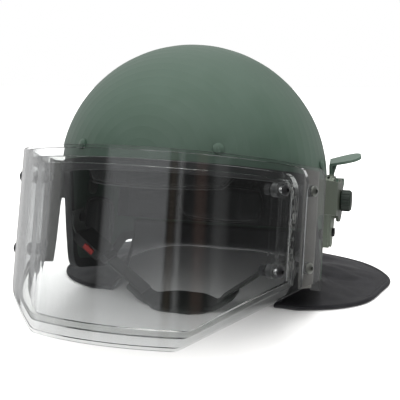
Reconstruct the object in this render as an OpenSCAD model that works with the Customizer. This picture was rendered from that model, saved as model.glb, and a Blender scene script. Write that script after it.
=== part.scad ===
// Riot helmet with ear cover, layered face shield, latch levers, chin strap and neck guard
// Worked out in the head frame: X to the wearer's left, -Y to the front, Z up, zero at the dome's centre.
// The finished helmet is tipped back and set on the floor by the module stand().

/* [Shell] */
// Half width of the shell, outside
shell_half_w = 127; // [115:1:140]
// Half length of the shell, outside
shell_half_l = 142; // [130:1:155]
// Height of the widest line above the head frame's zero
dome_rise = 5; // [0:1:12]
// Wall of the shell
shell_t = 5; // [3:0.5:8]
// Height of the brow rim
brow_z = 0; // [-8:1:10]
// Where the ear flap's front edge leaves the brow rim
ear_front_y = -54; // [-66:1:-46]
// Depth position of the ear flap's lower front corner
ear_low_front_y = -14; // [-26:1:-4]
// Depth position of the ear flap's lower rear corner
ear_low_rear_y = 50; // [40:1:60]
// Height of the ear flap's lower edge
ear_low_z = -92; // [-98:1:-84]
// Depth position where the nape rim begins
nape_y = 72; // [66:1:84]
// Height of the nape rim
nape_z = -62; // [-70:1:-54]
// Corner radius of the rim
rim_r = 20; // [12:1:24]

/* [Rim trim] */
// Wall of the rubber trim
trim_t = 1.5; // [1:0.25:2.5]
// Height of the trim on the shell
trim_h = 8; // [5:1:12]

/* [Liner] */
// Thickness of the impact foam
foam_t = 12; // [8:1:16]
// Gap between the shell and the foam
foam_gap = 0.4; // [0.2:0.1:1]
// Thickness of the comfort pads
pad_t = 10; // [7:1:14]
// Gap between pads and what they sit on
pad_gap = 0.3; // [0.2:0.1:0.8]
// How far the brow pad hangs below the brow rim
brow_pad_drop = 13; // [6:1:18]
// Height of the brow pad
brow_pad_h = 40; // [30:1:50]
// Radius of the crown pad
crown_pad_r = 46; // [34:1:56]
// Diameter of the liner screws' heads
liner_head_d = 9; // [7:0.5:12]
// Height of the liner screws above the brow rim
liner_screw_rise = 20; // [14:1:28]

/* [Visor] */
// How far the radius of the visor's front is less than the shell's half width
visor_in = 2; // [-6:1:10]
// Half angle of the curved front
visor_arc = 67.5; // [60:0.5:72]
// Depth of the visor's arc centre in front of the shell's middle
visor_fore = 73.5; // [66:0.5:80]
// Length of the straight side
side_l = 56; // [48:1:62]
// Height of the visor's top edge
visor_top = 12; // [8:1:18]
// Height of the straight side's rear edge
side_h = 90; // [84:1:98]
// Height of the visor at the chin
chin_h = 140; // [130:1:150]
// Half width of the chin edge
chin_half_w = 57; // [45:1:70]
// Corner radius of the panes
pane_corner_r = 12; // [6:1:18]

/* [Panes] */
// Thickness of the outer pane
outer_t = 2.5; // [2:0.25:4]
// Thickness of the middle sheet
middle_t = 5; // [3:0.25:7]
// Air gap behind the middle sheet
air_gap = 5; // [3:0.25:7]
// Thickness of the inner pane
inner_t = 3; // [2:0.25:4]
// How far the middle sheet stops short of the rear edge
middle_short = 25; // [22:1:28]
// How far the middle sheet stops short of the other edges
middle_inset = 2; // [1:0.5:4]
// How far the inner pane stops short of the rear edge
inner_short = 34.5; // [31:0.5:40]
// How far the inner pane stops short of the other edges
inner_inset = 8; // [6:0.5:12]
// Width of the sealing bead
bead_w = 5; // [4:0.5:8]

/* [Visor fasteners] */
// Front screws, from the rear edge of the pane
front_row = 60; // [54:1:64]
// Rear screws, from the rear edge of the pane
rear_row = 18.5; // [16:0.5:20]
// Upper screws below the top edge
screw_drop = 21.5; // [18:0.5:26]
// Spacing of upper and lower screws
screw_pitch = 61.5; // [56:0.5:66]
// Rise of the rear screws over the front ones
rear_rise = 2.5; // [0:0.5:5]
// Diameter of the screw heads
head_d = 9; // [7.5:0.5:11]
// Height of the screw heads
head_h = 3; // [2:0.25:4]
// Diameter of the screws
screw_d = 5; // [4:0.5:6]
// Width of the nuts across flats
nut_w = 8; // [7:0.5:10]
// Height of the nuts
nut_h = 4; // [3:0.5:5]

/* [Brackets] */
// Sheet thickness of the brackets and latch levers
sheet_t = 2.5; // [2:0.25:3]
// Height of the bracket's flange
flange_h = 96; // [88:1:104]
// How far the flange stops below the pane's top edge
flange_drop = 1.5; // [0:0.5:4]
// Where the flange begins, from the rear edge of the pane
flange_start = 24; // [22:0.5:24.5]
// How far the flange runs past the pane's rear edge
flange_over = 2; // [1:0.5:5]
// Half width of the arm
arm_half_w = 15; // [12:0.5:17]
// Radius of the arm's round end
arm_end_r = 20; // [18:0.5:21]
// How far the web's inner edge lies inside the shell's half width
web_in = 8.5; // [6:0.5:9]

/* [Pivot] */
// Depth position of the visor's pivot
pivot_y = 10; // [6:1:14]
// Height of the visor's pivot
pivot_z = -9; // [-14:1:-5]
// How far the housing's outer face stands out from the shell
housing_out = 10; // [8:0.5:13]
// Radius of the pivot housing
housing_r = 22; // [20:0.5:25]
// Length of the housing's tail below the pivot
housing_tail = 36; // [28:1:42]
// Radius of the tail's end
tail_r = 9; // [7:0.5:12]
// Diameter of the pivot bolt
bolt_d = 8; // [6:0.5:10]
// Running gap round the pivot bolt
bolt_gap = 0.05; // [0.03:0.01:0.08]
// Thickness of the friction washer
washer_t = 1.2; // [0.8:0.1:2]
// Diameter of the friction washer
washer_d = 30; // [24:1:34]
// Diameter of the knob
knob_d = 20; // [16:0.5:24]
// Length of the knob
knob_l = 9.5; // [7:0.5:13]
// Flutes round the knob
knob_flutes = 12; // [8:1:18]

/* [Latch levers] */
// Depth position of the lever's middle behind the pivot
lever_back = 21; // [20:1:24]
// Height of the lever's pin above the pivot
lever_rise = 20; // [19.5:0.5:21]
// How far the lever's sheet stands out from the shell's half width
lever_out = -0.5; // [-0.5:0.5:2]
// Height of the lever's stem above its pin
stem_h = 17; // [16:1:24]
// Width of the stem at its pin
stem_low_w = 10; // [9:0.5:11]
// Width of the stem at the thumb tab
stem_top_w = 18; // [16:1:22]
// Length of the thumb tab
tab_l = 30; // [24:1:38]
// Width of the thumb tab
tab_w = 24; // [22:1:30]
// Slope of the thumb tab, up to its tip
tab_slope = 14; // [0:1:20]
// Tilt of the thumb tab, up to its rear edge
tab_tilt = 22; // [0:1:28]
// Diameter of the lever's pin
pin_d = 3; // [2:0.25:4]

/* [Chin strap] */
// Width of the strap
strap_w = 22; // [18:1:26]
// Thickness of the strap
strap_t = 2; // [1.5:0.25:3]
// Depth position of the hanging strap's middle
strap_y = -35; // [-40:1:-33]
// Height of the strap's rivets below the head frame's zero
rivet_drop = 36; // [32:1:42]
// Slope of the strap from the chin cup to the ear flap
strap_slope = 36; // [32:1:40]
// Diameter of the strap rivets
rivet_d = 5; // [4:0.5:6]
// Half length of the chin cup's flat middle
cup_half_w = 34; // [28:1:40]
// Length of the chin cup's raised ends
cup_end_l = 26; // [20:1:30]
// Width of the chin cup at its middle
cup_w = 56; // [48:1:60]
// Width of the chin cup at its ends
cup_end_w = 30; // [26:1:36]
// Thickness of the chin cup
cup_t = 5; // [4:0.5:7]
// Length of the buckle
buckle_l = 34; // [30:1:38]
// Width of the buckle
buckle_w = 30; // [29:1:34]
// Thickness of the buckle
buckle_t = 9; // [8:0.5:11]
// Width of the buckle's tongue
tongue_w = 15; // [12:0.5:16]
// Thickness of the buckle's tongue
tongue_t = 3; // [2.5:0.25:4]
// Length of the release button
button_l = 12; // [8:0.5:14]
// Travel of the release button
button_travel = 2; // [1:0.25:2.5]

/* [Neck guard] */
// Thickness of the neck guard
guard_t = 3; // [2:0.25:4]
// Side reach of the neck guard on the floor
guard_half_w = 183; // [170:1:190]
// Rear reach of the neck guard on the floor, from the head frame's zero
guard_rear = 195; // [185:1:205]
// Depth of the folds
fold_depth = 3; // [0:0.5:5]

/* [Standing] */
// Angle by which the standing helmet is tipped back
stand_pitch = 12.7; // [11.5:0.1:13.5]
// Height of the head frame's zero above the floor
floor_drop = 113; // [111:0.5:118]

/* [Hidden] */
$fn = 64;

army_green = [0.20, 0.29, 0.24];
sheet_grey = [0.42, 0.42, 0.40];
dark_grey = [0.16, 0.16, 0.17];
clear_tint = [0.80, 0.86, 0.84, 0.35];
// Number of straight pieces in half of the shell's plan
plan_steps = 40;
// A length that reaches through the whole helmet
far = 400;
// Overlap that keeps unions and cuts clean
eps = 0.01;

// Points of a polygon with each corner rounded by its own radius
function unit(v) = v / norm(v);
function corner_arc(a, b, c, r, n) =
    let (
        u = unit(a - b),
        w = unit(c - b),
        half = acos(max(-1, min(1, u * w))) / 2,
        reach = r / tan(half),
        mid = b + unit(u + w) * (r / sin(half)),
        p = b + u * reach - mid,
        q = b + w * reach - mid,
        a0 = atan2(p[1], p[0]),
        a1 = atan2(q[1], q[0]),
        turn = (a1 - a0 > 180) ? a1 - a0 - 360 : (a1 - a0 < -180) ? a1 - a0 + 360 : a1 - a0
    )
    [for (i = [0:n]) mid + r * [cos(a0 + turn * i / n), sin(a0 + turn * i / n)]];
function rounded(pts, radii, n = 8) =
    [for (i = [0:len(pts) - 1])
        let (a = pts[(i + len(pts) - 1) % len(pts)], b = pts[i], c = pts[(i + 1) % len(pts)])
        for (p = (radii[i] > 0) ? corner_arc(a, b, c, radii[i], n) : [b]) p];

// Plan of the shell, drawn in by d
function plan_half(d) =
    [for (i = [0:plan_steps])
        let (a = 180 * i / plan_steps) [(shell_half_w - d) * sin(a), -(shell_half_l - d) * cos(a)]];
function plan_full(d) =
    concat(plan_half(d), [for (i = [1:plan_steps - 1])
        let (a = 180 + 180 * i / plan_steps) [(shell_half_w - d) * sin(a), -(shell_half_l - d) * cos(a)]]);
// Half width of the shell's plan at depth y, drawn in by d
function plan_x(y, d = 0) = (shell_half_w - d) * sqrt(max(0, 1 - pow(y / (shell_half_l - d), 2)));

// Side positions that follow the shell's width
visor_r = shell_half_w - visor_in;
visor_y = -visor_fore;
web_x = shell_half_w - web_in;
housing_x = shell_half_w + housing_out;
lever_x = shell_half_w + lever_out;

// The head frame, tipped back and set on the floor with its plan centred on the origin
front_reach = (visor_r - visor_y) * cos(stand_pitch) + (chin_h - visor_top) * sin(stand_pitch);
stand_y = (front_reach - guard_rear) / 2;
module stand() translate([0, stand_y, floor_drop]) rotate([-stand_pitch, 0, 0]) children();
// The upright frame that shares the head frame's zero
module on_floor() translate([0, stand_y, floor_drop]) children();
function head_to_floor(p) = [
    p[0],
    p[1] * cos(stand_pitch) + p[2] * sin(stand_pitch),
    -p[1] * sin(stand_pitch) + p[2] * cos(stand_pitch)
];
function floor_to_head(p) = [
    p[0],
    p[1] * cos(stand_pitch) - p[2] * sin(stand_pitch),
    p[1] * sin(stand_pitch) + p[2] * cos(stand_pitch)
];
module both_sides() {
    children();
    mirror([1, 0, 0]) children();
}
// Turns a profile drawn in (depth, height) into a solid that runs from x0 to x1
module across(x0, x1) translate([x0, 0, 0]) rotate([90, 0, 90]) linear_extrude(x1 - x0) children();
// Turns a profile drawn in (side, height) into a solid that runs from depth y0 to y1
module front_view(y0, y1) translate([0, y1, 0]) rotate([90, 0, 0]) linear_extrude(y1 - y0) children();

// Shell
module dome_solid(d, low) {
    intersection() {
        translate([0, 0, dome_rise]) rotate([-90, 0, 0]) rotate_extrude($fn = 96)
            polygon(plan_half(d));
        translate([-far / 2, -far / 2, max(low, dome_rise)]) cube(far);
    }
    if (low < dome_rise) {
        translate([0, 0, low]) linear_extrude(dome_rise - low) polygon(plan_full(d));
    }
}
// Side view of what the rim leaves open, grown into the shell by d
rim_line = [
    [-far, brow_z],
    [ear_front_y, brow_z],
    [ear_low_front_y, ear_low_z],
    [ear_low_rear_y, ear_low_z],
    [nape_y, nape_z],
    [far, nape_z]
];
module below_rim(d) polygon(rounded(
    concat(side_line(rim_line, d), [[far, -far], [-far, -far]]),
    [0, rim_r + d, rim_r - d, rim_r - d, rim_r / 2 + d, 0, 0, 0]));
module wall(outer, inner) {
    difference() {
        dome_solid(outer, ear_low_z - 20);
        dome_solid(inner, ear_low_z - 21);
    }
}
// Plan angles of the liner screws from the front: a pair in front, at the sides and behind
liner_angles = [28.7, 82, 148];
module at_liner_screws() {
    for (a = liner_angles) {
        for (s = [-1, 1]) {
            y = -shell_half_l * cos(a);
            r = plan_x(y);
            up = asin((liner_screw_rise + brow_z - dome_rise) / r);
            slope = atan(pow(shell_half_w / shell_half_l, 2) * y / max(1, r));
            translate([0, y, dome_rise]) rotate([0, -up * s, 0]) translate([s * r, 0, 0])
                rotate([0, 0, s * slope]) rotate([0, 90 * s, 0]) children();
        }
    }
}
module shell() color(army_green) stand() difference() {
    wall(0, shell_t);
    across(-far / 2, far / 2) below_rim(0);
    at_liner_screws() translate([0, 0, -shell_t * 2]) cylinder(d = screw_d + 2 * bolt_gap, h = shell_t * 3);
    both_sides() at_pivot() {
        rotate([0, 90, 0]) cylinder(d = bolt_d + 2 * bolt_gap, h = far);
        translate([0, 0, housing_screw_z]) rotate([0, 90, 0]) cylinder(d = housing_screw_d + 0.2, h = far);
    }
    translate(strap_head) rotate([0, 90, 0]) cylinder(d = rivet_d + 0.1, h = far, center = true);
    at_studs() cylinder(d = stud_d + 0.1, h = shell_t * 3, center = true);
}

// Rubber trim, a channel that grips the rim
trim_gap = 0.1;
module upright_wall(outer, inner, top) translate([0, 0, ear_low_z - 20]) linear_extrude(top - ear_low_z + 20)
    difference() {
        polygon(plan_full(outer));
        polygon(plan_full(inner));
    }
module rim_trim() color("black") stand() difference() {
    intersection() {
        upright_wall(-trim_t, shell_t + trim_t, brow_z + trim_h + 1);
        across(-far / 2, far / 2) difference() {
            below_rim(trim_h);
            below_rim(-trim_t);
        }
    }
    difference() {
        upright_wall(-trim_gap, shell_t + trim_gap, brow_z + trim_h + 2);
        across(-far / 2 - 1, far / 2 + 1) below_rim(-trim_gap);
    }
}

// Impact foam
liner_d = shell_t + foam_gap;
liner_low = brow_z + trim_h + 2;
nape_foam_z = nape_z + trim_h + 16;
nape_foam_y = nape_y - 14;
module impact_liner() color(dark_grey) stand() difference() {
    dome_solid(liner_d, nape_foam_z);
    dome_solid(liner_d + foam_t, nape_foam_z - 1);
    across(-far / 2, far / 2) polygon(rounded([
        [-far, liner_low],
        [nape_foam_y, liner_low],
        [nape_foam_y, nape_foam_z - 5],
        [-far, nape_foam_z - 5]
    ], [0, 16, 0, 0]));
    at_liner_screws() translate([0, 0, -shell_t - nut_h - 1]) cylinder(d = nut_w + 4, h = nut_h + shell_t);
}

// Closed body between two faces of a grid. The points are those of face 0, then those of face 1, each as
// m + 1 rows of n + 1 points. Seen from outside, face 0 has its rows upwards and its columns rightwards.
module two_faced(pts, n, m) {
    row = n + 1;
    back = row * (m + 1);
    faces = [for (j = [0:m - 1]) for (i = [0:n - 1]) let (p = j * row + i) each [
        [p, p + row + 1, p + 1],
        [p, p + row, p + row + 1],
        [back + p, back + p + 1, back + p + row + 1],
        [back + p, back + p + row + 1, back + p + row]
    ]];
    low = [for (i = [0:n - 1]) each edge_faces(i, i + 1, back)];
    high = [for (i = [0:n - 1]) each edge_faces(m * row + i + 1, m * row + i, back)];
    left = [for (j = [0:m - 1]) each edge_faces((j + 1) * row, j * row, back)];
    right = [for (j = [0:m - 1]) each edge_faces(j * row + n, (j + 1) * row + n, back)];
    polyhedron(points = pts, faces = concat(faces, low, high, left, right));
}
function edge_faces(p, q, back) = [[p, q, back + q], [p, back + q, back + p]];

// Comfort cushions, sewn in channels. Each follows the inside of the shell, has a crown and drawn-in sides.
pad_d = liner_d + foam_t + pad_gap;
cushion_n = 18;
cushion_m = 8;
channel_depth = 2.2;
seam_share = 0.35;
// Thickness at grid place u, v, each from -1 to 1, with a channel at each third
function cushion_t(u, v) =
    pad_t * (seam_share + (1 - seam_share) * pow((1 - pow(u, 4)) * (1 - pow(v, 4)), 0.45))
    - ((abs(abs(u) - 1 / 3) < 0.01) ? channel_depth * (1 - pow(v, 4)) : 0);
// Draws the corners of the grid in
function drawn_in(u, v) = u * sqrt(1 - 0.28 * v * v);
// Point that lies d inside the shell at plan angle a and height z
function wall_point(a, z, d) =
    let (k = sqrt(1 - pow(max(0, z - dome_rise) / (shell_half_w - d), 2)))
    [(shell_half_w - d) * k * sin(a), -(shell_half_l - d) * k * cos(a), z];
// Point that lies d inside the shell above plan point x, y
function dome_point(x, y, d) =
    let (w = shell_half_w - d, l = shell_half_l - d)
    [x, y, dome_rise + sqrt(pow(w, 2) - pow(x, 2) - pow(y * w / l, 2))];
module cushion(place, inner) two_faced([for (s = [0, 1]) for (j = [0:cushion_m]) for (i = [0:cushion_n])
    let (u = 2 * i / cushion_n - 1, v = 2 * j / cushion_m - 1)
    place(drawn_in(u, v), drawn_in(v, u), inner + s * cushion_t(u, v))], cushion_n, cushion_m);
module wall_pad(from, to, low, high, inner = pad_d) cushion(
    function(u, v, d)
        wall_point((from + to) / 2 + u * (to - from) / 2, (low + high) / 2 + v * (high - low) / 2, d),
    inner);
module crown_pad() color(dark_grey) stand()
    cushion(function(u, v, d) dome_point(u * crown_pad_r, v * crown_pad_r * 1.15, d), pad_d);
module brow_pad() color(dark_grey) stand()
    wall_pad(-brow_pad_ang, brow_pad_ang, brow_z - brow_pad_drop, brow_z - brow_pad_drop + brow_pad_h);
// Head of the pivot bolt, inside the shell
bolt_head_d = 16;
bolt_head_h = 3;
// Plan angles of the pads from the front, and how far they keep from the edges of what carries them
brow_pad_ang = 38;
rear_pad_ang = 30;
side_pad_from = 58;
side_pad_to = 104;
ear_pad_from = 89;
ear_pad_to = 112;
pad_low_gap = 2;
side_pad_h = 30;
ear_pad_gap = 16;
rear_pad_z = nape_foam_z + pad_low_gap;
side_pad_z = liner_low + 2 * pad_low_gap;
ear_pad_top = pivot_z - bolt_head_d / 2 - pad_low_gap - 1;
module rear_pad() color(dark_grey) stand()
    wall_pad(180 - rear_pad_ang, 180 + rear_pad_ang, rear_pad_z, rear_pad_z + brow_pad_h);
module side_pad() color(dark_grey) stand()
    wall_pad(side_pad_from, side_pad_to, side_pad_z, side_pad_z + side_pad_h);
module side_pad_l() side_pad();
module side_pad_r() mirror([1, 0, 0]) side_pad();
module ear_pad() color(dark_grey) stand()
    wall_pad(ear_pad_from, ear_pad_to, ear_low_z + ear_pad_gap, ear_pad_top, shell_t + pad_gap);
module ear_pad_l() ear_pad();
module ear_pad_r() mirror([1, 0, 0]) ear_pad();
liner_head_h = 2.4;
liner_nut_h = 3.2;
seat_gap = 0.3;
module liner_screws() color(army_green) stand() at_liner_screws() {
    translate([0, 0, seat_gap]) intersection() {
        cylinder(d = liner_head_d, h = liner_head_h);
        translate([0, 0, liner_head_h - liner_head_d]) sphere(r = liner_head_d);
    }
    translate([0, 0, -shell_t - liner_nut_h])
        cylinder(d = screw_d, h = shell_t + liner_nut_h + seat_gap + 0.1);
    translate([0, 0, -shell_t - liner_nut_h - 1]) cylinder(d = nut_w, h = liner_nut_h);
}

// Neck guard, hung inside the nape rim and spread on the floor
guard_ang = 54;
hem_ang = 107;
guard_steps = 44;
guard_rings = 9;
guard_y0 = 40;
function ease(t) = t * t * (3 - 2 * t);
guard_top_d = shell_t + trim_t + pad_gap;
guard_band_h = trim_h + 14;
// Point of the guard at angle a, ring k and side s: the outer face has s = 0 and the inner one s = 1
function guard_point(a, k, s) =
    let (
        d = guard_top_d + s * guard_t,
        rim = head_to_floor([(shell_half_w - d) * sin(a), (shell_half_l - d) * cos(a),
            nape_z - trim_t - 1 + ((k == 0) ? guard_band_h : 0)]),
        t = max(0, (k - 1) / (guard_rings - 1)),
        b = a * hem_ang / guard_ang,
        draw = 1 - 0.24 * ease(max(0, min(1, (abs(b) - 74) / 32))),
        fold = fold_depth * sin(abs(b) * 9) * ease(t),
        foot = [(guard_half_w * draw + fold) * sin(b), guard_y0 + (guard_rear - guard_y0) * cos(b) * draw, 0],
        lift = pow(1 - t, 2.6),
        wave = (1 - lift) * ease(1 - abs(2 * t - 1)) * fold_depth * 0.8 * (1 + sin(abs(b) * 9)),
        top = -floor_drop + guard_t,
        z = top + (rim[2] + guard_t - top) * lift + wave
    )
    (k <= 1) ? rim : [
        rim[0] + (foot[0] - rim[0]) * t,
        rim[1] + (foot[1] - rim[1]) * t,
        (s == 0) ? z : max(-floor_drop, z - guard_t)
    ];
module neck_guard() color(dark_grey) on_floor() two_faced(
    [for (s = [0, 1]) for (k = [0:guard_rings]) for (i = [0:guard_steps])
        guard_point(guard_ang * (2 * i / guard_steps - 1), k, s)],
    guard_steps, guard_rings);
// Studs that hold the neck guard's upper band inside the nape
stud_d = 4;
stud_head_d = 10;
stud_head_h = 2;
module at_studs() for (a = [-48, -24, 0, 24, 48]) {
    x = shell_half_w * sin(a);
    y = shell_half_l * cos(a);
    turn = atan2(x / pow(shell_half_w, 2), y / pow(shell_half_l, 2));
    translate([x, y, nape_z + trim_h + stud_head_d / 2 + 1]) rotate([0, 0, -turn])
        rotate([-90, 0, 0]) children();
}
module neck_guard_studs() color("black") stand() at_studs() {
    translate([0, 0, seat_gap]) cylinder(d = stud_head_d, h = stud_head_h);
    translate([0, 0, -guard_top_d + seat_gap]) cylinder(d = stud_d, h = guard_top_d + 0.1);
}

// Pivot housing, bolt, washer and knob
lug_h = 4.5;
module at_pivot() translate([0, pivot_y, pivot_z]) children();
module housing_plan(grow) {
    circle(r = housing_r + grow);
    polygon([
        [-housing_r - grow, 0],
        [housing_r + grow, 0],
        [tail_r + grow, -housing_tail],
        [-tail_r - grow, -housing_tail]
    ]);
    translate([0, -housing_tail]) circle(r = tail_r + grow);
}
// The housing reaches this far into the shell's width, then is cut to the shell with a gap
housing_root = 20;
housing_gap = 0.3;
// Its edge steps in by step_in over the last two layers, each face_t thick
face_t = 2.5;
step_in = 1.2;
// The screw in its tail
housing_screw_z = -housing_tail + 6;
housing_screw_d = 4;
housing_screw_l = housing_out - face_t + shell_t - 1;
housing_screw_head_d = 8;
housing_screw_head_h = 2.2;
// Lugs on both sides of the latch lever, and a block behind it
lug_t = 3.2;
lug_gap = 0.6;
knuckle_d = pin_d + 3.5;
lug_out = 5.2;
block_low = 9;
block_high = 1;
block_gap = 0.4;
module pivot_housing() color(army_green) stand() difference() {
    at_pivot() union() {
        across(shell_half_w - housing_root, housing_x - 2 * face_t) housing_plan(0);
        across(housing_x - 2 * face_t - eps, housing_x - face_t) housing_plan(-step_in);
        across(housing_x - face_t - eps, housing_x) circle(r = washer_d / 2 + 2);
        translate([0, lever_back, lever_rise]) {
            across(shell_half_w - housing_root, lever_x - block_gap)
                translate([-stem_low_w / 2 - lug_gap - lug_t / 2, -block_low])
                square([stem_low_w + 2 * lug_gap + lug_t, block_low + block_high]);
            for (e = [-1, 1]) {
                across(shell_half_w - housing_root, lever_x + lug_out)
                    translate([e * (stem_low_w / 2 + lug_gap + lug_t / 2) - lug_t / 2, -lug_h])
                    square([lug_t, 2 * lug_h]);
            }
        }
    }
    dome_solid(-housing_gap, ear_low_z - 20);
    at_pivot() {
        rotate([0, 90, 0]) cylinder(d = bolt_d + 2 * bolt_gap, h = far);
        translate([0, 0, housing_screw_z]) rotate([0, 90, 0]) cylinder(d = housing_screw_d + 0.2, h = far);
        lever_pin_place() rotate([90, 0, 0]) cylinder(d = pin_d + 2 * bolt_gap, h = far, center = true);
        lever_pin_place() rotate([90, 0, 0])
            cylinder(d = knuckle_d + 2 * lug_gap, h = stem_low_w + lug_gap, center = true);
    }
}
module pivot_housing_l() pivot_housing();
module pivot_housing_r() mirror([1, 0, 0]) pivot_housing();
module housing_screws() color("black") stand() both_sides() at_pivot()
    translate([housing_x - face_t, 0, housing_screw_z]) rotate([0, 90, 0]) {
        difference() {
            translate([0, 0, 0.2]) cylinder(d = housing_screw_head_d, h = housing_screw_head_h);
            translate([0, 0, 1.2]) cylinder(d = housing_screw_head_d / 2, h = housing_screw_head_h, $fn = 6);
        }
        translate([0, 0, -housing_screw_l]) cylinder(d = housing_screw_d, h = housing_screw_l + seat_gap);
    }
bolt_in = plan_x(pivot_y + bolt_head_d / 2, shell_t) - 0.1;
arm_x = housing_x + washer_t;
knob_x = arm_x + sheet_t + seat_gap;
knob_end_t = 2.5;
knob_chamfer = 1.5;
knob_foot = 1;
flute_d = 3;
flute_out = 0.8;
module pivot_bolt() color("silver") stand() at_pivot() rotate([0, 90, 0]) {
    translate([0, 0, bolt_in - bolt_head_h]) cylinder(d = bolt_head_d, h = bolt_head_h);
    translate([0, 0, bolt_in - eps]) cylinder(d = bolt_d, h = knob_x + knob_l - knob_end_t - 0.5 - bolt_in);
}
module pivot_bolt_l() pivot_bolt();
module pivot_bolt_r() mirror([1, 0, 0]) pivot_bolt();
module friction_washer() color("black") stand() at_pivot() rotate([0, 90, 0])
    translate([0, 0, housing_x + 0.05]) difference() {
        cylinder(d = washer_d, h = washer_t - 0.1);
        translate([0, 0, -1]) cylinder(d = bolt_d + 2 * bolt_gap, h = washer_t + 2);
    }
module friction_washer_l() friction_washer();
module friction_washer_r() mirror([1, 0, 0]) friction_washer();
module knob() color("black") stand() at_pivot() rotate([0, 90, 0]) translate([0, 0, knob_x]) difference() {
    rotate_extrude($fn = 72) polygon([
        [0, 0],
        [knob_d / 2 - knob_foot, 0],
        [knob_d / 2, knob_foot],
        [knob_d / 2, knob_l - knob_chamfer],
        [knob_d / 2 - knob_chamfer, knob_l],
        [0, knob_l]
    ]);
    translate([0, 0, -1]) cylinder(d = bolt_d + 2 * bolt_gap, h = knob_l + 1 - knob_end_t);
    for (i = [0:knob_flutes - 1]) {
        rotate([0, 0, 360 * i / knob_flutes]) translate([knob_d / 2 + flute_out, 0, flute_d / 2])
            cylinder(d = flute_d, h = knob_l);
    }
}
module knob_l() knob();
module knob_r() mirror([1, 0, 0]) knob();

// Latch lever, a sheet with a thumb tab, a ribbed stem and a foot at the arm's rim
foot_w = 6;
foot_angle = atan2(lever_rise, lever_back);
pin_r = norm([lever_back, lever_rise]);
foot_l = pin_r - arm_end_r - 0.5;
// The pin lies this far outside the stem's inner face, in a knuckle
pin_out = 3;
// The foot clears the housing: its root keeps outside the housing's edge, its tip outside the housing's face
foot_start = 2.5;
root_l = pin_r - housing_r - 1;
tip_start = housing_x - face_t + 0.9 - lever_x - pin_out;
foot_end = arm_x + sheet_t - lever_x - pin_out;
// The stem's rib grows from rib_low beside the lugs to rib_high under the tab
rib_low = 1.5;
rib_high = 5;
module lever_pin_place() translate([lever_x + pin_out, lever_back, lever_rise]) children();
module latch_lever() color(army_green) stand() at_pivot() lever_pin_place() difference() {
    union() {
        rotate([90, 0, 0]) cylinder(d = knuckle_d, h = stem_low_w, center = true);
        across(foot_start, foot_end) rotate(180 + foot_angle) translate([0, -foot_w / 2])
            square([root_l, foot_w]);
        across(tip_start, foot_end) rotate(180 + foot_angle) translate([1, -foot_w / 2])
            square([foot_l - 1, foot_w]);
        across(-pin_out, sheet_t - pin_out) polygon(stem_outline);
        front_view(-sheet_t / 2, sheet_t / 2) polygon(rib_outline);
        translate([-pin_out - 0.3, 0, stem_h]) rotate([tab_tilt, -tab_slope, 0])
            translate([0, 0, -sheet_t / 2]) linear_extrude(sheet_t) polygon(tab_outline);
    }
    rotate([90, 0, 0]) cylinder(d = pin_d + 2 * bolt_gap, h = far, center = true);
}
stem_outline = [
    [-stem_low_w / 2, 0],
    [stem_low_w / 2, 0],
    [stem_low_w / 2, lug_h + 1],
    [stem_top_w / 2, stem_h + stem_top_w / 2 * tan(tab_tilt)],
    [-stem_top_w / 2, stem_h - stem_top_w / 2 * tan(tab_tilt)],
    [-stem_low_w / 2, lug_h + 1]
];
rib_outline = [
    [-pin_out + 0.5, 1],
    [sheet_t - pin_out + rib_low, 1],
    [sheet_t - pin_out + rib_low, lug_h + 1],
    [sheet_t - pin_out + rib_high, stem_h + (sheet_t + rib_high) * tan(tab_slope)],
    [-pin_out + 0.5, stem_h]
];
tab_outline = rounded([
    [0, -stem_top_w / 2 - 0.5],
    [tab_l * 0.5, -tab_w / 2],
    [tab_l, -tab_w / 2],
    [tab_l, tab_w / 2],
    [tab_l * 0.5, tab_w / 2],
    [0, stem_top_w / 2 + 0.5]
], [0, tab_w, tab_w * 0.4, tab_w * 0.4, tab_w, 0], 8);
module latch_lever_l() latch_lever();
module latch_lever_r() mirror([1, 0, 0]) latch_lever();
module latch_pin() color("silver") stand() at_pivot() lever_pin_place() rotate([90, 0, 0])
    cylinder(d = pin_d, h = stem_low_w + 8, center = true);
module latch_pin_l() latch_pin();
module latch_pin_r() mirror([1, 0, 0]) latch_pin();

// Visor panes: each is the strip between two depths, cut to the visor's outline drawn in
arc_end = [visor_r * sin(visor_arc), visor_y - visor_r * cos(visor_arc)];
// Local frame of the straight side: x to the rear edge, y inwards, z up
module side_frame() translate([arc_end[0], arc_end[1], 0]) rotate([0, 0, visor_arc]) children();
// Point of the straight side, s behind the curved front and depth below the outer face
function side_point(s, depth) = [
    arc_end[0] + s * cos(visor_arc) - depth * sin(visor_arc),
    arc_end[1] + s * sin(visor_arc) + depth * cos(visor_arc)
];
// Plan line of the visor at depth d, from the far rear end round the front to the near one
arc_steps = 48;
function plan_line(d, stop) =
    let (
        rear = side_point(side_l - stop, d),
        front = [for (i = [0:arc_steps])
            let (a = visor_arc * (2 * i / arc_steps - 1))
            [(visor_r - d) * sin(a), visor_y - (visor_r - d) * cos(a)]]
    )
    concat([[-rear[0], rear[1]]], front, [rear]);
module plan_strip(d0, d1, stop) {
    inside = plan_line(d1, stop);
    polygon(concat(plan_line(d0, stop), [for (i = [len(inside) - 1:-1:0]) inside[i]]));
}
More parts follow.
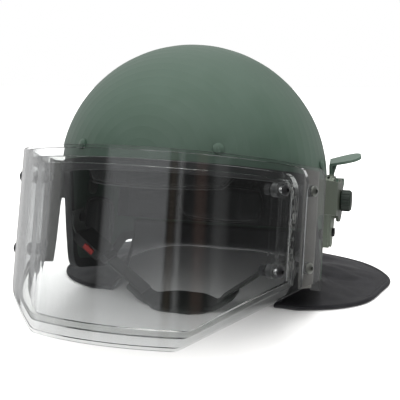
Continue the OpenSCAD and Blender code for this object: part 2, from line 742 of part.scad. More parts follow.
// Front view of the visor's outline, drawn in by d and stopped short of the rear edge by stop
module front_outline(d, stop) {
    x_end = arc_end[0] + (side_l - stop) * cos(visor_arc) + 0.5;
    x_full = arc_end[0] + side_l * cos(visor_arc);
    fall = (chin_h - side_h) / (x_full - chin_half_w);
    shift = d * sqrt(1 + fall * fall);
    z_side = visor_top - side_h + shift - (x_full - x_end) * fall;
    z_chin = visor_top - chin_h + d;
    x_chin = chin_half_w + (shift - d) / fall;
    polygon(rounded([
        [x_end, visor_top - d],
        [x_end, z_side],
        [x_chin, z_chin],
        [-x_chin, z_chin],
        [-x_end, z_side],
        [-x_end, visor_top - d]
    ], [0, 0, pane_corner_r, pane_corner_r, 0, 0], 10));
}
module corner_cut(d, stop, r) both_sides() side_frame() translate([side_l - stop - r, -5, visor_top - d - r])
    difference() {
        cube([r + 5, visor_r / 3, r + 5]);
        translate([0, -1, 0]) rotate([-90, 0, 0]) cylinder(r = r, h = visor_r / 2);
    }
module pane(d0, d1, inset, stop, corner) difference() {
    intersection() {
        translate([0, 0, visor_top - chin_h]) linear_extrude(chin_h) plan_strip(d0, d1, stop);
        rotate([90, 0, 0]) linear_extrude(far) front_outline(inset, stop);
    }
    corner_cut(inset, stop, corner);
}
module at_screws(row, rise) for (i = [0, 1]) {
    both_sides() side_frame() translate([side_l - row, 0, visor_top - screw_drop + rise - screw_pitch * i])
        rotate([-90, 0, 0]) children();
}
front_stack = outer_t + middle_t + air_gap + inner_t;
rear_stack = outer_t + middle_t + sheet_t;
module screw_holes(row, rise, d) at_screws(row, rise) translate([0, 0, -5]) cylinder(d = d, h = 40);
module outer_pane() color(clear_tint) stand() difference() {
    pane(0, outer_t, 0, 0, pane_corner_r);
    screw_holes(front_row, 0, screw_d + 0.2);
    screw_holes(rear_row, rear_rise, screw_d + 0.2);
}
module middle_pane() color(clear_tint) stand() difference() {
    pane(outer_t + eps, outer_t + middle_t, middle_inset, middle_short, pane_corner_r);
    screw_holes(front_row, 0, screw_d + 0.2);
}
module inner_pane() color(clear_tint) stand() difference() {
    pane(outer_t + middle_t + air_gap + eps, front_stack, inner_inset, inner_short, pane_corner_r * 1.4);
    screw_holes(front_row, 0, screw_d + 0.2);
}
module pane_seal() color([0.9, 0.9, 0.9, 0.6]) stand() difference() {
    pane(outer_t + middle_t + eps, outer_t + middle_t + air_gap, inner_inset, inner_short,
        pane_corner_r * 1.4);
    pane(outer_t + middle_t - 1, outer_t + middle_t + air_gap + 1, inner_inset + bead_w, inner_short + bead_w,
        pane_corner_r);
}
module button_head() difference() {
    intersection() {
        translate([0, 0, -head_h]) cylinder(d = head_d, h = head_h);
        translate([0, 0, head_d * 0.75 - head_h]) sphere(r = head_d * 0.75);
    }
    translate([0, 0, -head_h - 1]) cylinder(d = 3.6, h = head_h, $fn = 6);
}
module front_screws() color("black") stand() at_screws(front_row, 0) {
    button_head();
    translate([0, 0, -eps]) cylinder(d = screw_d, h = front_stack + nut_h + 1);
}
module rear_screws() color("silver") stand() at_screws(rear_row, rear_rise) {
    button_head();
    translate([0, 0, -eps]) cylinder(d = screw_d, h = rear_stack + nut_h + 1);
}
module nut() difference() {
    cylinder(d = nut_w / cos(30), h = nut_h, $fn = 6);
    translate([0, 0, -1]) cylinder(d = screw_d + 0.1, h = nut_h + 2);
}
module visor_nuts() color("black") stand() {
    at_screws(front_row, 0) translate([0, 0, front_stack + curve_gap]) nut();
    at_screws(rear_row, rear_rise) translate([0, 0, rear_stack + 0.02]) nut();
}
// Sleeves in the air gap on the front screws, and blocks under the flange on the rear ones. The panes begin
// to curve at the front screws, so what is flat there stands off by curve_gap.
curve_gap = 0.4;
module gap_spacers() color([0.75, 0.75, 0.75]) stand() {
    at_screws(front_row, 0) translate([0, 0, outer_t + middle_t + curve_gap]) difference() {
        cylinder(d = head_d + 2, h = air_gap - curve_gap - 0.04);
        translate([0, 0, -1]) cylinder(d = screw_d + 0.2, h = air_gap + 2);
    }
    at_screws(rear_row, rear_rise) translate([0, 0, outer_t + 0.02]) difference() {
        cylinder(d = head_d + 1, h = middle_t - 0.04);
        translate([0, 0, -1]) cylinder(d = screw_d + 0.2, h = middle_t + 2);
    }
}

// A line moved sideways by d, with mitred corners
function side_line(pts, d) = [for (i = [0:len(pts) - 1])
    let (
        last = len(pts) - 1,
        u = unit(pts[min(i + 1, last)] - pts[min(i, last - 1)]),
        v = unit(pts[max(i, 1)] - pts[max(i - 1, 0)]),
        n = unit([-u[1] - v[1], u[0] + v[0]])
    )
    pts[i] + n * d / (n * [-u[1], u[0]])];
// Outline of a sheet of thickness t bent along a line, each bend with middle radius r
function bent(pts, t, r) =
    let (
        last = len(pts) - 1,
        turn = [for (i = [0:last])
            (i == 0 || i == last) ? 0 : sign(cross(pts[i] - pts[i - 1], pts[i + 1] - pts[i]))],
        left = side_line(pts, t / 2),
        right = side_line(pts, -t / 2),
        left_r = [for (k = turn) (k == 0) ? 0 : r - k * t / 2],
        right_r = [for (i = [last:-1:0]) (turn[i] == 0) ? 0 : r + turn[i] * t / 2]
    )
    rounded(concat(left, [for (i = [last:-1:0]) right[i]]), concat(left_r, right_r), 4);

// Bracket: a sheet bent in plan, then cut to its side view
flange_depth = outer_t + middle_t + sheet_t / 2;
flange_a = side_point(side_l - flange_start, flange_depth);
flange_b = side_point(side_l + flange_over, flange_depth);
web_end = [web_x + sheet_t / 2, flange_b[1] + 3];
arm_l = 8;
arm_bend = [arm_x + sheet_t / 2, pivot_y - arm_end_r - arm_l];
arm_tip = [arm_x + sheet_t / 2, pivot_y + arm_end_r];
flange_top = visor_top - flange_drop;
flange_low = flange_top - flange_h;
// The arm's round end runs from where its lower edge meets the circle to where its upper edge does
arm_end_a = asin(arm_half_w / arm_end_r);
arm_end_points = [for (i = [0:24])
    let (a = -180 + arm_end_a + (360 - 2 * arm_end_a) * i / 24)
    [pivot_y + arm_end_r * cos(a), pivot_z + arm_end_r * sin(a)]];
// The web narrows to the arm over web_run behind the flange
web_run = 16;
web_foot = 6;
web_rise = 14;
web_points = rounded([
    [-far / 2, 0],
    [-far / 2, flange_top],
    [flange_b[1] + web_foot, flange_top],
    [flange_b[1] + web_run, pivot_z + arm_half_w],
    [0, pivot_z + arm_half_w],
    [0, pivot_z - arm_half_w],
    [flange_b[1] + web_run, pivot_z - arm_half_w],
    [flange_b[1] + web_foot, flange_low + web_rise],
    [flange_b[1] + web_foot - 2, flange_low],
    [-far / 2, flange_low]
], [0, 0, 4, 6, 0, 0, 10, 4, 2, 0], 6);
module bracket_side() polygon(concat(
    [for (p = web_points) if (p[0] < -1 && p[1] > pivot_z) p],
    [for (i = [24:-1:0]) arm_end_points[i]],
    [for (p = web_points) if (p[0] < -1 && p[1] < pivot_z) p]));
// Notches in the arm's rim, at the foot of the latch lever when the visor is down and when it is up
visor_travel = 75;
notch_out = 1.5;
module bracket() color(sheet_grey) stand() difference() {
    intersection() {
        translate([0, 0, flange_low]) linear_extrude(flange_h)
            polygon(bent([flange_a, flange_b, web_end, arm_bend, arm_tip], sheet_t, sheet_t * 1.5));
        across(0, far) bracket_side();
    }
    screw_holes(rear_row, rear_rise, screw_d + 0.2);
    at_pivot() rotate([0, 90, 0]) cylinder(d = bolt_d + 2 * bolt_gap, h = far);
    at_pivot() across(0, far) for (a = [foot_angle, foot_angle + visor_travel]) {
        rotate(a) translate([arm_end_r + notch_out, 0]) circle(d = foot_w + 1);
    }
}
module bracket_l() bracket();
module bracket_r() mirror([1, 0, 0]) bracket();

// Chin strap, buckle and chin cup hang in an upright plane, drawn in the front view
rivet_back = 5;
strap_head = floor_to_head([0, strap_y + rivet_back, -rivet_drop]);
strap_top_z = -rivet_drop + rivet_d + 4;
strap_front = floor_to_head([0, strap_y - strap_w / 2, strap_top_z]);
strap_wall_x = plan_x(strap_front[1], shell_t + trim_t) - pad_gap - strap_t / 2;
slope_dir = [cos(strap_slope), sin(strap_slope)];
cup_bend = [cup_half_w, -floor_drop + cup_t / 2];
strap_low = cup_bend + 8 * slope_dir + (cup_t / 2 + 0.2 + strap_t / 2) * [-slope_dir[1], slope_dir[0]];
strap_run = (strap_wall_x - strap_low[0]) / slope_dir[0];
strap_corner = strap_low + strap_run * slope_dir;
strap_top = [strap_wall_x, strap_top_z];
buckle_end = strap_run - 5;
buckle_start = buckle_end - buckle_l;
tongue_head_l = 8;
tongue_gap = 0.3;
pocket_depth = (buckle_w - tongue_w) / 2 - tongue_gap - 1.2;
button_from = buckle_start + 8;
button_t = 5;
button_gap = 0.2;
pocket_end = 8;
module strap_band(pts) on_floor() front_view(strap_y - strap_w / 2, strap_y + strap_w / 2)
    polygon(bent(pts, strap_t, strap_t * 2));
module along_strap() translate(strap_low) rotate(strap_slope) children();
module strap_l() color(dark_grey) difference() {
    strap_band([strap_top, strap_corner, strap_low]);
    at_rivets() cylinder(d = rivet_d + 0.1, h = far, center = true);
}
module strap_r() color(dark_grey)
    mirror([1, 0, 0]) strap_band([strap_low + (buckle_start - tongue_head_l) * slope_dir, strap_low]);
module buckle_strap() color(dark_grey) mirror([1, 0, 0]) difference() {
    strap_band([strap_top, strap_corner, strap_low + (buckle_end + 0.05) * slope_dir]);
    at_rivets() cylinder(d = rivet_d + 0.1, h = far, center = true);
}
module at_rivets() on_floor() translate([strap_wall_x, strap_y + rivet_back, -rivet_drop]) rotate([0, 90, 0])
    children();
module strap_rivets() color("black") both_sides() at_rivets() {
    shell_x = plan_x(strap_head[1]) - strap_wall_x;
    inside_x = plan_x(strap_head[1], shell_t) - strap_wall_x;
    translate([0, 0, -strap_t / 2 - 2]) cylinder(d = rivet_d * 2, h = 1.8);
    translate([0, 0, -strap_t / 2 - 1]) cylinder(d = rivet_d, h = shell_x + strap_t / 2 + 2);
    translate([0, 0, strap_t / 2 + 0.2]) cylinder(d = rivet_d * 1.6, h = inside_x - strap_t / 2 - 1);
    translate([0, 0, shell_x + 0.8]) cylinder(d = rivet_d * 1.8, h = 1.4);
}
module chin_cup() color(dark_grey) on_floor() intersection() {
    cup_tip = cup_bend + cup_end_l * slope_dir;
    cup_line = [[-cup_tip[0], cup_tip[1]], [-cup_bend[0], cup_bend[1]], cup_bend, cup_tip];
    front_view(strap_y - far / 4, strap_y + far / 4) polygon(bent(cup_line, cup_t, cup_t * 2));
    cup_reach = cup_half_w + (cup_end_l + cup_t) * slope_dir[0];
    translate([0, strap_y, -floor_drop]) linear_extrude(far / 4) polygon(rounded([
        [-cup_reach, cup_end_w / 2],
        [-cup_half_w, cup_end_w / 2],
        [-cup_half_w / 2, cup_w / 2],
        [cup_half_w / 2, cup_w / 2],
        [cup_half_w, cup_end_w / 2],
        [cup_reach, cup_end_w / 2],
        [cup_reach, -cup_end_w / 2],
        [cup_half_w, -cup_end_w / 2],
        [cup_half_w / 2, -cup_w / 2],
        [-cup_half_w / 2, -cup_w / 2],
        [-cup_half_w, -cup_end_w / 2],
        [-cup_reach, -cup_end_w / 2]
    ], [6, 8, 14, 14, 8, 6, 6, 8, 14, 14, 8, 6]));
}
module strap_block(s0, s1, y0, y1, t, r = 0) front_view(strap_y + y0, strap_y + y1) along_strap()
    polygon(rounded([[s0, -t / 2], [s1, -t / 2], [s1, t / 2], [s0, t / 2]], [r, r, r, r], 4));
module buckle_body() color("black") mirror([1, 0, 0]) on_floor() difference() {
    strap_block(buckle_start, buckle_end, -buckle_w / 2, buckle_w / 2, buckle_t, 2.5);
    strap_block(buckle_start - 1, buckle_end - pocket_end, -tongue_w / 2 - tongue_gap,
        tongue_w / 2 + tongue_gap, tongue_t + 2 * tongue_gap);
    strap_block(button_from, button_from + button_l, -buckle_w / 2 - 1, -buckle_w / 2 + pocket_depth,
        button_t + 2 * button_gap);
}
module buckle_tongue() color("black") mirror([1, 0, 0]) on_floor() {
    strap_block(buckle_start - tongue_head_l, buckle_start - 0.3, -strap_w / 2, strap_w / 2, buckle_t - 2, 2);
    strap_block(buckle_start - 1, buckle_end - pocket_end - 1, -tongue_w / 2, tongue_w / 2, tongue_t);
}
module buckle_button() color("red") mirror([1, 0, 0]) on_floor()
    strap_block(button_from + button_gap, button_from + button_l - button_gap,
        -buckle_w / 2 - button_travel + tongue_gap,
        -buckle_w / 2 + pocket_depth - button_travel - tongue_gap, button_t);

shell();
rim_trim();
impact_liner();
crown_pad();
brow_pad();
rear_pad();
side_pad_l();
side_pad_r();
ear_pad_l();
ear_pad_r();
liner_screws();
neck_guard();
neck_guard_studs();
pivot_housing_l();
pivot_housing_r();
housing_screws();
pivot_bolt_l();
pivot_bolt_r();
friction_washer_l();
friction_washer_r();
latch_pin_l();
latch_pin_r();
strap_l();
strap_r();
buckle_strap();
strap_rivets();
chin_cup();
buckle_body();
buckle_tongue();
buckle_button();
outer_pane();
middle_pane();
pane_seal();
inner_pane();
bracket_l();
bracket_r();
front_screws();
rear_screws();
visor_nuts();
gap_spacers();
knob_l();
knob_r();
latch_lever_l();
latch_lever_r();
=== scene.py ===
import bpy
import bmesh
import math
import random
from mathutils import Matrix, Vector, noise


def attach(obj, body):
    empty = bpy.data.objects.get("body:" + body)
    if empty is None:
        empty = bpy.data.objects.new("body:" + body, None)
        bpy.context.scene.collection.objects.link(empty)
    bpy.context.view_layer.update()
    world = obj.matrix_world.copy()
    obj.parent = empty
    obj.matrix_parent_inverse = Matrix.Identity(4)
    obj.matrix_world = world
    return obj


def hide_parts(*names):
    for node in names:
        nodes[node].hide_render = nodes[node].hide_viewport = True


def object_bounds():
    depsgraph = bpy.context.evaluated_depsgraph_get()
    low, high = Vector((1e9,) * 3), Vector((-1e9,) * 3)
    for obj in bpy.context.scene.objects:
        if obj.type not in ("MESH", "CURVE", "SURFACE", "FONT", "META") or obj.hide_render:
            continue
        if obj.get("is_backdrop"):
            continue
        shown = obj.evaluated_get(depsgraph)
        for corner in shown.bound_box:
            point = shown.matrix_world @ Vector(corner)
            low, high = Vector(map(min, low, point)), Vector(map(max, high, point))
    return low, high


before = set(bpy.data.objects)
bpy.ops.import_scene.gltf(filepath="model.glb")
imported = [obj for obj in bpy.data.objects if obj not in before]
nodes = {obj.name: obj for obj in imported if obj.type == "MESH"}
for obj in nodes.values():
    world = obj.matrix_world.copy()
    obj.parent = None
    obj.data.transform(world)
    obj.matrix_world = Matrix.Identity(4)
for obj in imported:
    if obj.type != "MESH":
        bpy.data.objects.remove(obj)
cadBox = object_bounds()
scene = bpy.context.scene
print("model loaded,", len(nodes), "nodes")

# The helmet stands tipped back: the dome's centre is this far behind the origin and this high
stand = {"pitch": math.radians(12.7), "back": 0.013392, "rise": 0.113}
tiltCos, tiltSin = math.cos(stand["pitch"]), math.sin(stand["pitch"])


def fromHead(x, y, z):
    return Vector((x, stand["back"] + y * tiltCos + z * tiltSin, stand["rise"] - y * tiltSin + z * tiltCos))


def toHead(p):
    y, z = p.y - stand["back"], p.z - stand["rise"]
    return Vector((p.x, y * tiltCos - z * tiltSin, y * tiltSin + z * tiltCos))


# Camera, as the photograph's
cameraSet = {
    "azimuth": 18.82, "elevation": 8.92, "distance": 0.6625, "lens": 60.6, "sensor": 36,
    "shift": (0.0128, -0.044), "clip": (0.02, 60),
}
az, el = math.radians(cameraSet["azimuth"]), math.radians(cameraSet["elevation"])
aim = fromHead(0, 0, 0)
away = Vector((math.sin(az) * math.cos(el), -math.cos(az) * math.cos(el), math.sin(el)))
cameraData = bpy.data.cameras.new("camera")
cameraData.lens = cameraSet["lens"]
cameraData.sensor_width = cameraSet["sensor"]
cameraData.shift_x, cameraData.shift_y = cameraSet["shift"]
cameraData.clip_start, cameraData.clip_end = cameraSet["clip"]
camera = bpy.data.objects.new("camera", cameraData)
camera.location = aim + away * cameraSet["distance"]
camera.rotation_euler = (-away).to_track_quat("-Z", "Y").to_euler()
scene.collection.objects.link(camera)
scene.camera = camera
scene.view_settings.view_transform = "Standard"

# Soft studio light: a wide sun for the floor and the dome, and two large lamps, each with its name, place,
# size, watts and colour. None of them is mirrored.
sunSet = {
    "place": (0, 0, 2), "aim": (-0.12, -0.55, 1.0), "strength": 1.9, "angle": 75,
    "colour": (1.0, 0.995, 0.98),
}
lamps = [
    ("keyLight", (0.10, 0.60, 1.9), (1.8, 1.6), 30, (1.0, 0.99, 0.97)),
    ("rimLight", (1.3, 1.5, 0.75), (0.5, 1.2), 6, (1.0, 0.93, 0.86)),
]


def addLamp(name, lamp, place, direction):
    holder = bpy.data.objects.new(name, lamp)
    holder.location = place
    holder.rotation_euler = Vector(direction).to_track_quat("Z", "Y").to_euler()
    holder.visible_glossy = False
    scene.collection.objects.link(holder)


sun = bpy.data.lights.new("sun", "SUN")
sun.energy = sunSet["strength"]
sun.angle = math.radians(sunSet["angle"])
sun.color = sunSet["colour"]
addLamp("sun", sun, sunSet["place"], sunSet["aim"])
for name, place, size, watts, colour in lamps:
    lamp = bpy.data.lights.new(name, "AREA")
    lamp.shape = "RECTANGLE"
    lamp.size, lamp.size_y = size
    lamp.energy = watts
    lamp.color = colour
    addLamp(name, lamp, place, Vector(place) - aim)


def put(tree, kind, inputs=None, **settings):
    node = tree.nodes.new("ShaderNode" + kind)
    for name, value in settings.items():
        setattr(node, name, value)
    for key, value in (inputs or {}).items():
        if isinstance(value, bpy.types.NodeSocket):
            tree.links.new(value, node.inputs[key])
        else:
            node.inputs[key].default_value = value
    return node


def maths(tree, operation, *values, clamp=False):
    return put(tree, "Math", dict(enumerate(values)), operation=operation, use_clamp=clamp).outputs[0]


def spread(tree, value, low, high, toLow=0.0, toHigh=1.0):
    return put(tree, "MapRange", {0: value, 1: low, 2: high, 3: toLow, 4: toHigh}).outputs[0]


def mixColour(tree, share, first, second):
    return put(tree, "Mix", {0: share, 6: first, 7: second}, data_type="RGBA").outputs[2]


# The room is white to the eye. What glass and paint mirror is darker: panels that stand round it, each from
# one azimuth to another in degrees, with its grey and its tint. Above and below them lie a pale ceiling and
# ground: the ray's height where each begins and where it is full, and its grey.
roomSet = {
    "lit": 0.98, "top": 0.35, "mirrored": 0.045, "edge": 1.6,
    "ceiling": (0.42, 0.85, 0.9), "ground": (-0.40, -0.75, 0.8),
}
panels = [
    ("frontPanel", -27, 22, 0.50, (1.0, 1.01, 1.03)),
    ("doorFrame", 23.5, 28, 0.10, (1.2, 1.0, 0.8)),
    ("doorEdge", 29.5, 33, 0.40, (1.0, 1.0, 1.0)),
    ("shelf", 43, 51, 0.11, (1.35, 0.95, 0.82)),
    ("curtain", 57, 68, 0.17, (1.0, 1.0, 1.0)),
    ("farWindow", -178, -76, 0.66, (1.0, 1.0, 1.0)),
    ("farWall", -74, -58, 0.24, (1.0, 1.0, 1.0)),
    ("sideWall", 125, 178, 0.50, (1.0, 1.0, 1.0)),
]
world = bpy.data.worlds.new("studio")
scene.world = world
world.use_nodes = True
worldTree = world.node_tree
worldTree.nodes.clear()
path = put(worldTree, "LightPath")
way = put(worldTree, "SeparateXYZ", {0: put(worldTree, "TexCoord").outputs["Generated"]})
turn = maths(worldTree, "ARCTAN2", way.outputs[0], maths(worldTree, "MULTIPLY", way.outputs[1], -1.0))
degrees = maths(worldTree, "MULTIPLY", turn, 180 / math.pi)
height = way.outputs[2]
mirrored = (roomSet["mirrored"],) * 3 + (1,)
for name, low, high, grey, tint in panels:
    into = spread(worldTree, degrees, low - roomSet["edge"], low + roomSet["edge"])
    out = spread(worldTree, degrees, high + roomSet["edge"], high - roomSet["edge"])
    inside = maths(worldTree, "MULTIPLY", into, out)
    mirrored = mixColour(worldTree, inside, mirrored, (*[grey * c for c in tint], 1))
for low, high, grey in (roomSet["ceiling"], roomSet["ground"]):
    mirrored = mixColour(worldTree, spread(worldTree, height, low, high), mirrored, (grey, grey, grey, 1))
above = maths(worldTree, "MAXIMUM", height, 0.0)
litUp = maths(worldTree, "MULTIPLY_ADD", above, roomSet["top"], roomSet["lit"])
litGrey = put(worldTree, "CombineXYZ", {0: litUp, 1: litUp, 2: litUp}).outputs[0]
seen = maths(worldTree, "MAXIMUM", path.outputs["Is Camera Ray"], path.outputs["Is Transmission Ray"])
lit = mixColour(worldTree, seen, litGrey, (1, 1, 1, 1))
mirroredRay = maths(worldTree, "MINIMUM", path.outputs["Glossy Depth"], 1.0)
roomColour = mixColour(worldTree, mirroredRay, lit, mirrored)
skyNode = put(worldTree, "Background", {"Color": roomColour, "Strength": 1.0})
worldOut = worldTree.nodes.new("ShaderNodeOutputWorld")
worldTree.links.new(skyNode.outputs[0], worldOut.inputs[0])


# Shared effects: each is a node group that gives masks and heights. Noise keeps near its middle, so a mask
# takes only a span of it. An edge counts as worn where its bevelled normal turns away from the face's.
effectSet = {
    "broad": 0.045, "turned": (0.985, 0.86), "chips": (0.42, 0.6), "pebble": 0.16, "bend": (90.0, 0.004),
    "folds": 38.0, "creases": (0.35, 0.68), "patches": (0.35, 0.65), "rough": (0.3, 0.7),
    "blobs": (0.4, 0.6),
}


def newGroup(name, inputs, outputs):
    group = bpy.data.node_groups.new(name, "ShaderNodeTree")
    for label, kind, value in inputs:
        socket = group.interface.new_socket(name=label, in_out="INPUT", socket_type="NodeSocket" + kind)
        socket.default_value = value
    for label, kind in outputs:
        group.interface.new_socket(name=label, in_out="OUTPUT", socket_type="NodeSocket" + kind)
    return group, group.nodes.new("NodeGroupInput"), group.nodes.new("NodeGroupOutput")


def grainGroup():
    group, given, out = newGroup(
        "fineGrain",
        [("Scale", "Float", 500.0), ("Stretch", "Vector", (1.0, 1.0, 1.0))],
        [("Height", "Float"), ("Patches", "Float")],
    )
    place, scale = put(group, "TexCoord").outputs["Object"], given.outputs["Scale"]
    stretched = put(group, "VectorMath", {0: place, 1: given.outputs["Stretch"]}, operation="MULTIPLY")
    drawn = stretched.outputs[0]
    fine = put(group, "TexNoise", {"Vector": drawn, "Scale": scale, "Detail": 3.0, "Roughness": 0.6})
    broadScale = maths(group, "MULTIPLY", scale, effectSet["broad"])
    broad = put(group, "TexNoise", {"Vector": drawn, "Scale": broadScale, "Detail": 4.0, "Roughness": 0.55})
    group.links.new(fine.outputs[0], out.inputs["Height"])
    group.links.new(broad.outputs[0], out.inputs["Patches"])
    return group


def edgeGroup():
    group, given, out = newGroup(
        "wornEdges", [("Radius", "Float", 0.0008), ("Scale", "Float", 300.0)], [("Mask", "Float")]
    )
    soft = put(group, "Bevel", {"Radius": given.outputs["Radius"]}, samples=4).outputs[0]
    sharp = put(group, "NewGeometry").outputs["Normal"]
    turn = put(group, "VectorMath", {0: soft, 1: sharp}, operation="DOT_PRODUCT").outputs["Value"]
    edge = spread(group, turn, *effectSet["turned"])
    place, scale = put(group, "TexCoord").outputs["Object"], given.outputs["Scale"]
    chips = put(group, "TexNoise", {"Vector": place, "Scale": scale, "Detail": 4.0}).outputs[0]
    mask = maths(group, "MULTIPLY", edge, spread(group, chips, *effectSet["chips"]), clamp=True)
    group.links.new(mask, out.inputs["Mask"])
    return group


def weaveGroup():
    group, given, out = newGroup(
        "plainWeave",
        [("Vector", "Vector", (0.0, 0.0, 0.0)), ("Pitch", "Float", 0.0012)],
        [("Height", "Float"), ("Tone", "Float")],
    )
    parts = put(group, "SeparateXYZ", {0: given.outputs["Vector"]})
    along = maths(group, "DIVIDE", parts.outputs[0], given.outputs["Pitch"])
    across = maths(group, "DIVIDE", parts.outputs[1], given.outputs["Pitch"])
    cells = maths(group, "ADD", maths(group, "FLOOR", along), maths(group, "FLOOR", across))
    over = maths(group, "ABSOLUTE", maths(group, "MODULO", cells, 2.0))
    warp = maths(group, "ABSOLUTE", maths(group, "SINE", maths(group, "MULTIPLY", along, math.pi)))
    weft = maths(group, "ABSOLUTE", maths(group, "SINE", maths(group, "MULTIPLY", across, math.pi)))
    warpHigh = maths(group, "MULTIPLY", warp, maths(group, "MULTIPLY_ADD", weft, 0.5, 0.5))
    weftHigh = maths(group, "MULTIPLY", weft, maths(group, "MULTIPLY_ADD", warp, 0.5, 0.5))
    height = put(group, "Mix", {0: over, 2: warpHigh, 3: weftHigh}).outputs[0]
    group.links.new(height, out.inputs["Height"])
    group.links.new(over, out.inputs["Tone"])
    return group


def hideGroup():
    group, given, out = newGroup(
        "hideGrain", [("Scale", "Float", 700.0)], [("Height", "Float"), ("Creases", "Float")]
    )
    place = put(group, "TexCoord").outputs["Object"]
    bendScale, bendShare = effectSet["bend"]
    bend = put(group, "TexNoise", {"Vector": place, "Scale": bendScale, "Detail": 3.0}).outputs["Color"]
    shifted = put(group, "Mix", {0: bendShare, 4: place, 5: bend}, data_type="VECTOR").outputs[1]
    scale = given.outputs["Scale"]
    cells = put(group, "TexVoronoi", {"Vector": shifted, "Scale": scale}, feature="DISTANCE_TO_EDGE")
    pebbles = spread(group, cells.outputs["Distance"], 0.0, effectSet["pebble"])
    foldInputs = {"Vector": place, "Scale": effectSet["folds"], "Detail": 6.0, "Distortion": 1.4}
    folds = put(group, "TexNoise", foldInputs)
    group.links.new(pebbles, out.inputs["Height"])
    group.links.new(folds.outputs[0], out.inputs["Creases"])
    return group


groups = {"grain": grainGroup(), "edges": edgeGroup(), "weave": weaveGroup(), "hide": hideGroup()}


def useGroup(tree, name, **inputs):
    node = tree.nodes.new("ShaderNodeGroup")
    node.node_tree = groups[name]
    for key, value in inputs.items():
        if isinstance(value, bpy.types.NodeSocket):
            tree.links.new(value, node.inputs[key])
        else:
            node.inputs[key].default_value = value
    return node


def startMaterial(name, **fixed):
    material = bpy.data.materials.new(name)
    material.use_nodes = True
    tree = material.node_tree
    tree.nodes.clear()
    shader = tree.nodes.new("ShaderNodeBsdfPrincipled")
    out = tree.nodes.new("ShaderNodeOutputMaterial")
    tree.links.new(shader.outputs[0], out.inputs[0])
    for key, value in fixed.items():
        shader.inputs[key.replace("_", " ")].default_value = value
    return material, tree, shader


def bump(tree, shader, height, distance, strength=1.0):
    node = put(tree, "Bump", {"Height": height, "Distance": distance, "Strength": strength})
    tree.links.new(node.outputs[0], shader.inputs["Normal"])


# Hard finishes: colour, the lighter patches, roughness range, grain size and depth, worn edge colour
finishes = {
    "armyGreenPaint": {
        "colour": (0.035, 0.063, 0.045), "patch": (0.041, 0.070, 0.052), "worn": (0.13, 0.18, 0.15),
        "rough": (0.40, 0.50), "metal": 0.0, "grain": 900.0, "depth": 0.00006, "edge": 0.0009, "wear": 0.35,
    },
    # Housing paint: the shell's army green lightened as painted light, so that the housings look lit where
    # they stand in shade
    "litHousingPaint": {
        "colour": (0.110, 0.130, 0.102), "patch": (0.124, 0.145, 0.116), "worn": (0.20, 0.23, 0.19),
        "rough": (0.42, 0.54), "metal": 0.0, "grain": 900.0, "depth": 0.00006, "edge": 0.0009, "wear": 0.35,
    },
    "knobPaint": {
        "colour": (0.008, 0.014, 0.010), "patch": (0.012, 0.020, 0.014), "worn": (0.05, 0.07, 0.05),
        "rough": (0.36, 0.50), "metal": 0.0, "grain": 1500.0, "depth": 0.00005, "edge": 0.0005, "wear": 0.4,
    },
    "leverPaint": {
        "colour": (0.052, 0.084, 0.064), "patch": (0.062, 0.096, 0.075), "worn": (0.20, 0.24, 0.21),
        "rough": (0.34, 0.46), "metal": 0.0, "grain": 900.0, "depth": 0.00005, "edge": 0.0007, "wear": 0.55,
    },
    "blackRubber": {
        "colour": (0.012, 0.013, 0.014), "patch": (0.022, 0.023, 0.024), "worn": (0.05, 0.05, 0.05),
        "rough": (0.55, 0.72), "metal": 0.0, "grain": 1500.0, "depth": 0.0001, "edge": 0.0006, "wear": 0.4,
    },
    "blackPlastic": {
        "colour": (0.014, 0.014, 0.015), "patch": (0.022, 0.022, 0.023), "worn": (0.07, 0.07, 0.07),
        "rough": (0.34, 0.48), "metal": 0.0, "grain": 1800.0, "depth": 0.00005, "edge": 0.0004, "wear": 0.5,
    },
    "redPlastic": {
        "colour": (0.30, 0.013, 0.011), "patch": (0.35, 0.02, 0.016), "worn": (0.6, 0.2, 0.18),
        "rough": (0.3, 0.42), "metal": 0.0, "grain": 1800.0, "depth": 0.00004, "edge": 0.0003, "wear": 0.3,
    },
    "blackSteel": {
        "colour": (0.035, 0.036, 0.038), "patch": (0.06, 0.06, 0.062), "worn": (0.4, 0.4, 0.4),
        "rough": (0.30, 0.44), "metal": 0.9, "grain": 1400.0, "depth": 0.00003, "edge": 0.0003, "wear": 0.6,
    },
    "zincSteel": {
        "colour": (0.22, 0.235, 0.215), "patch": (0.28, 0.29, 0.265), "worn": (0.5, 0.5, 0.5),
        "rough": (0.26, 0.42), "metal": 0.95, "grain": 1400.0, "depth": 0.00003, "edge": 0.0003, "wear": 0.5,
    },
    "smokedNylon": {
        "colour": (0.045, 0.047, 0.048), "patch": (0.07, 0.072, 0.073), "worn": (0.3, 0.3, 0.3),
        "rough": (0.25, 0.4), "metal": 0.0, "grain": 1400.0, "depth": 0.00003, "edge": 0.0003, "wear": 0.2,
    },
}


def hardMaterial(name, look):
    material, tree, shader = startMaterial(name, Metallic=look["metal"])
    grain = useGroup(tree, "grain", Scale=look["grain"])
    patches = spread(tree, grain.outputs["Patches"], *effectSet["patches"])
    base = mixColour(tree, patches, (*look["colour"], 1), (*look["patch"], 1))
    worn = useGroup(tree, "edges", Radius=look["edge"]).outputs["Mask"]
    wornShare = maths(tree, "MULTIPLY", worn, look["wear"])
    tree.links.new(mixColour(tree, wornShare, base, (*look["worn"], 1)), shader.inputs["Base Color"])
    rough = spread(tree, grain.outputs["Patches"], *effectSet["rough"], *look["rough"])
    tree.links.new(rough, shader.inputs["Roughness"])
    bump(tree, shader, grain.outputs["Height"], look["depth"], 0.6)
    return material


materials = {name: hardMaterial(name, look) for name, look in finishes.items()}


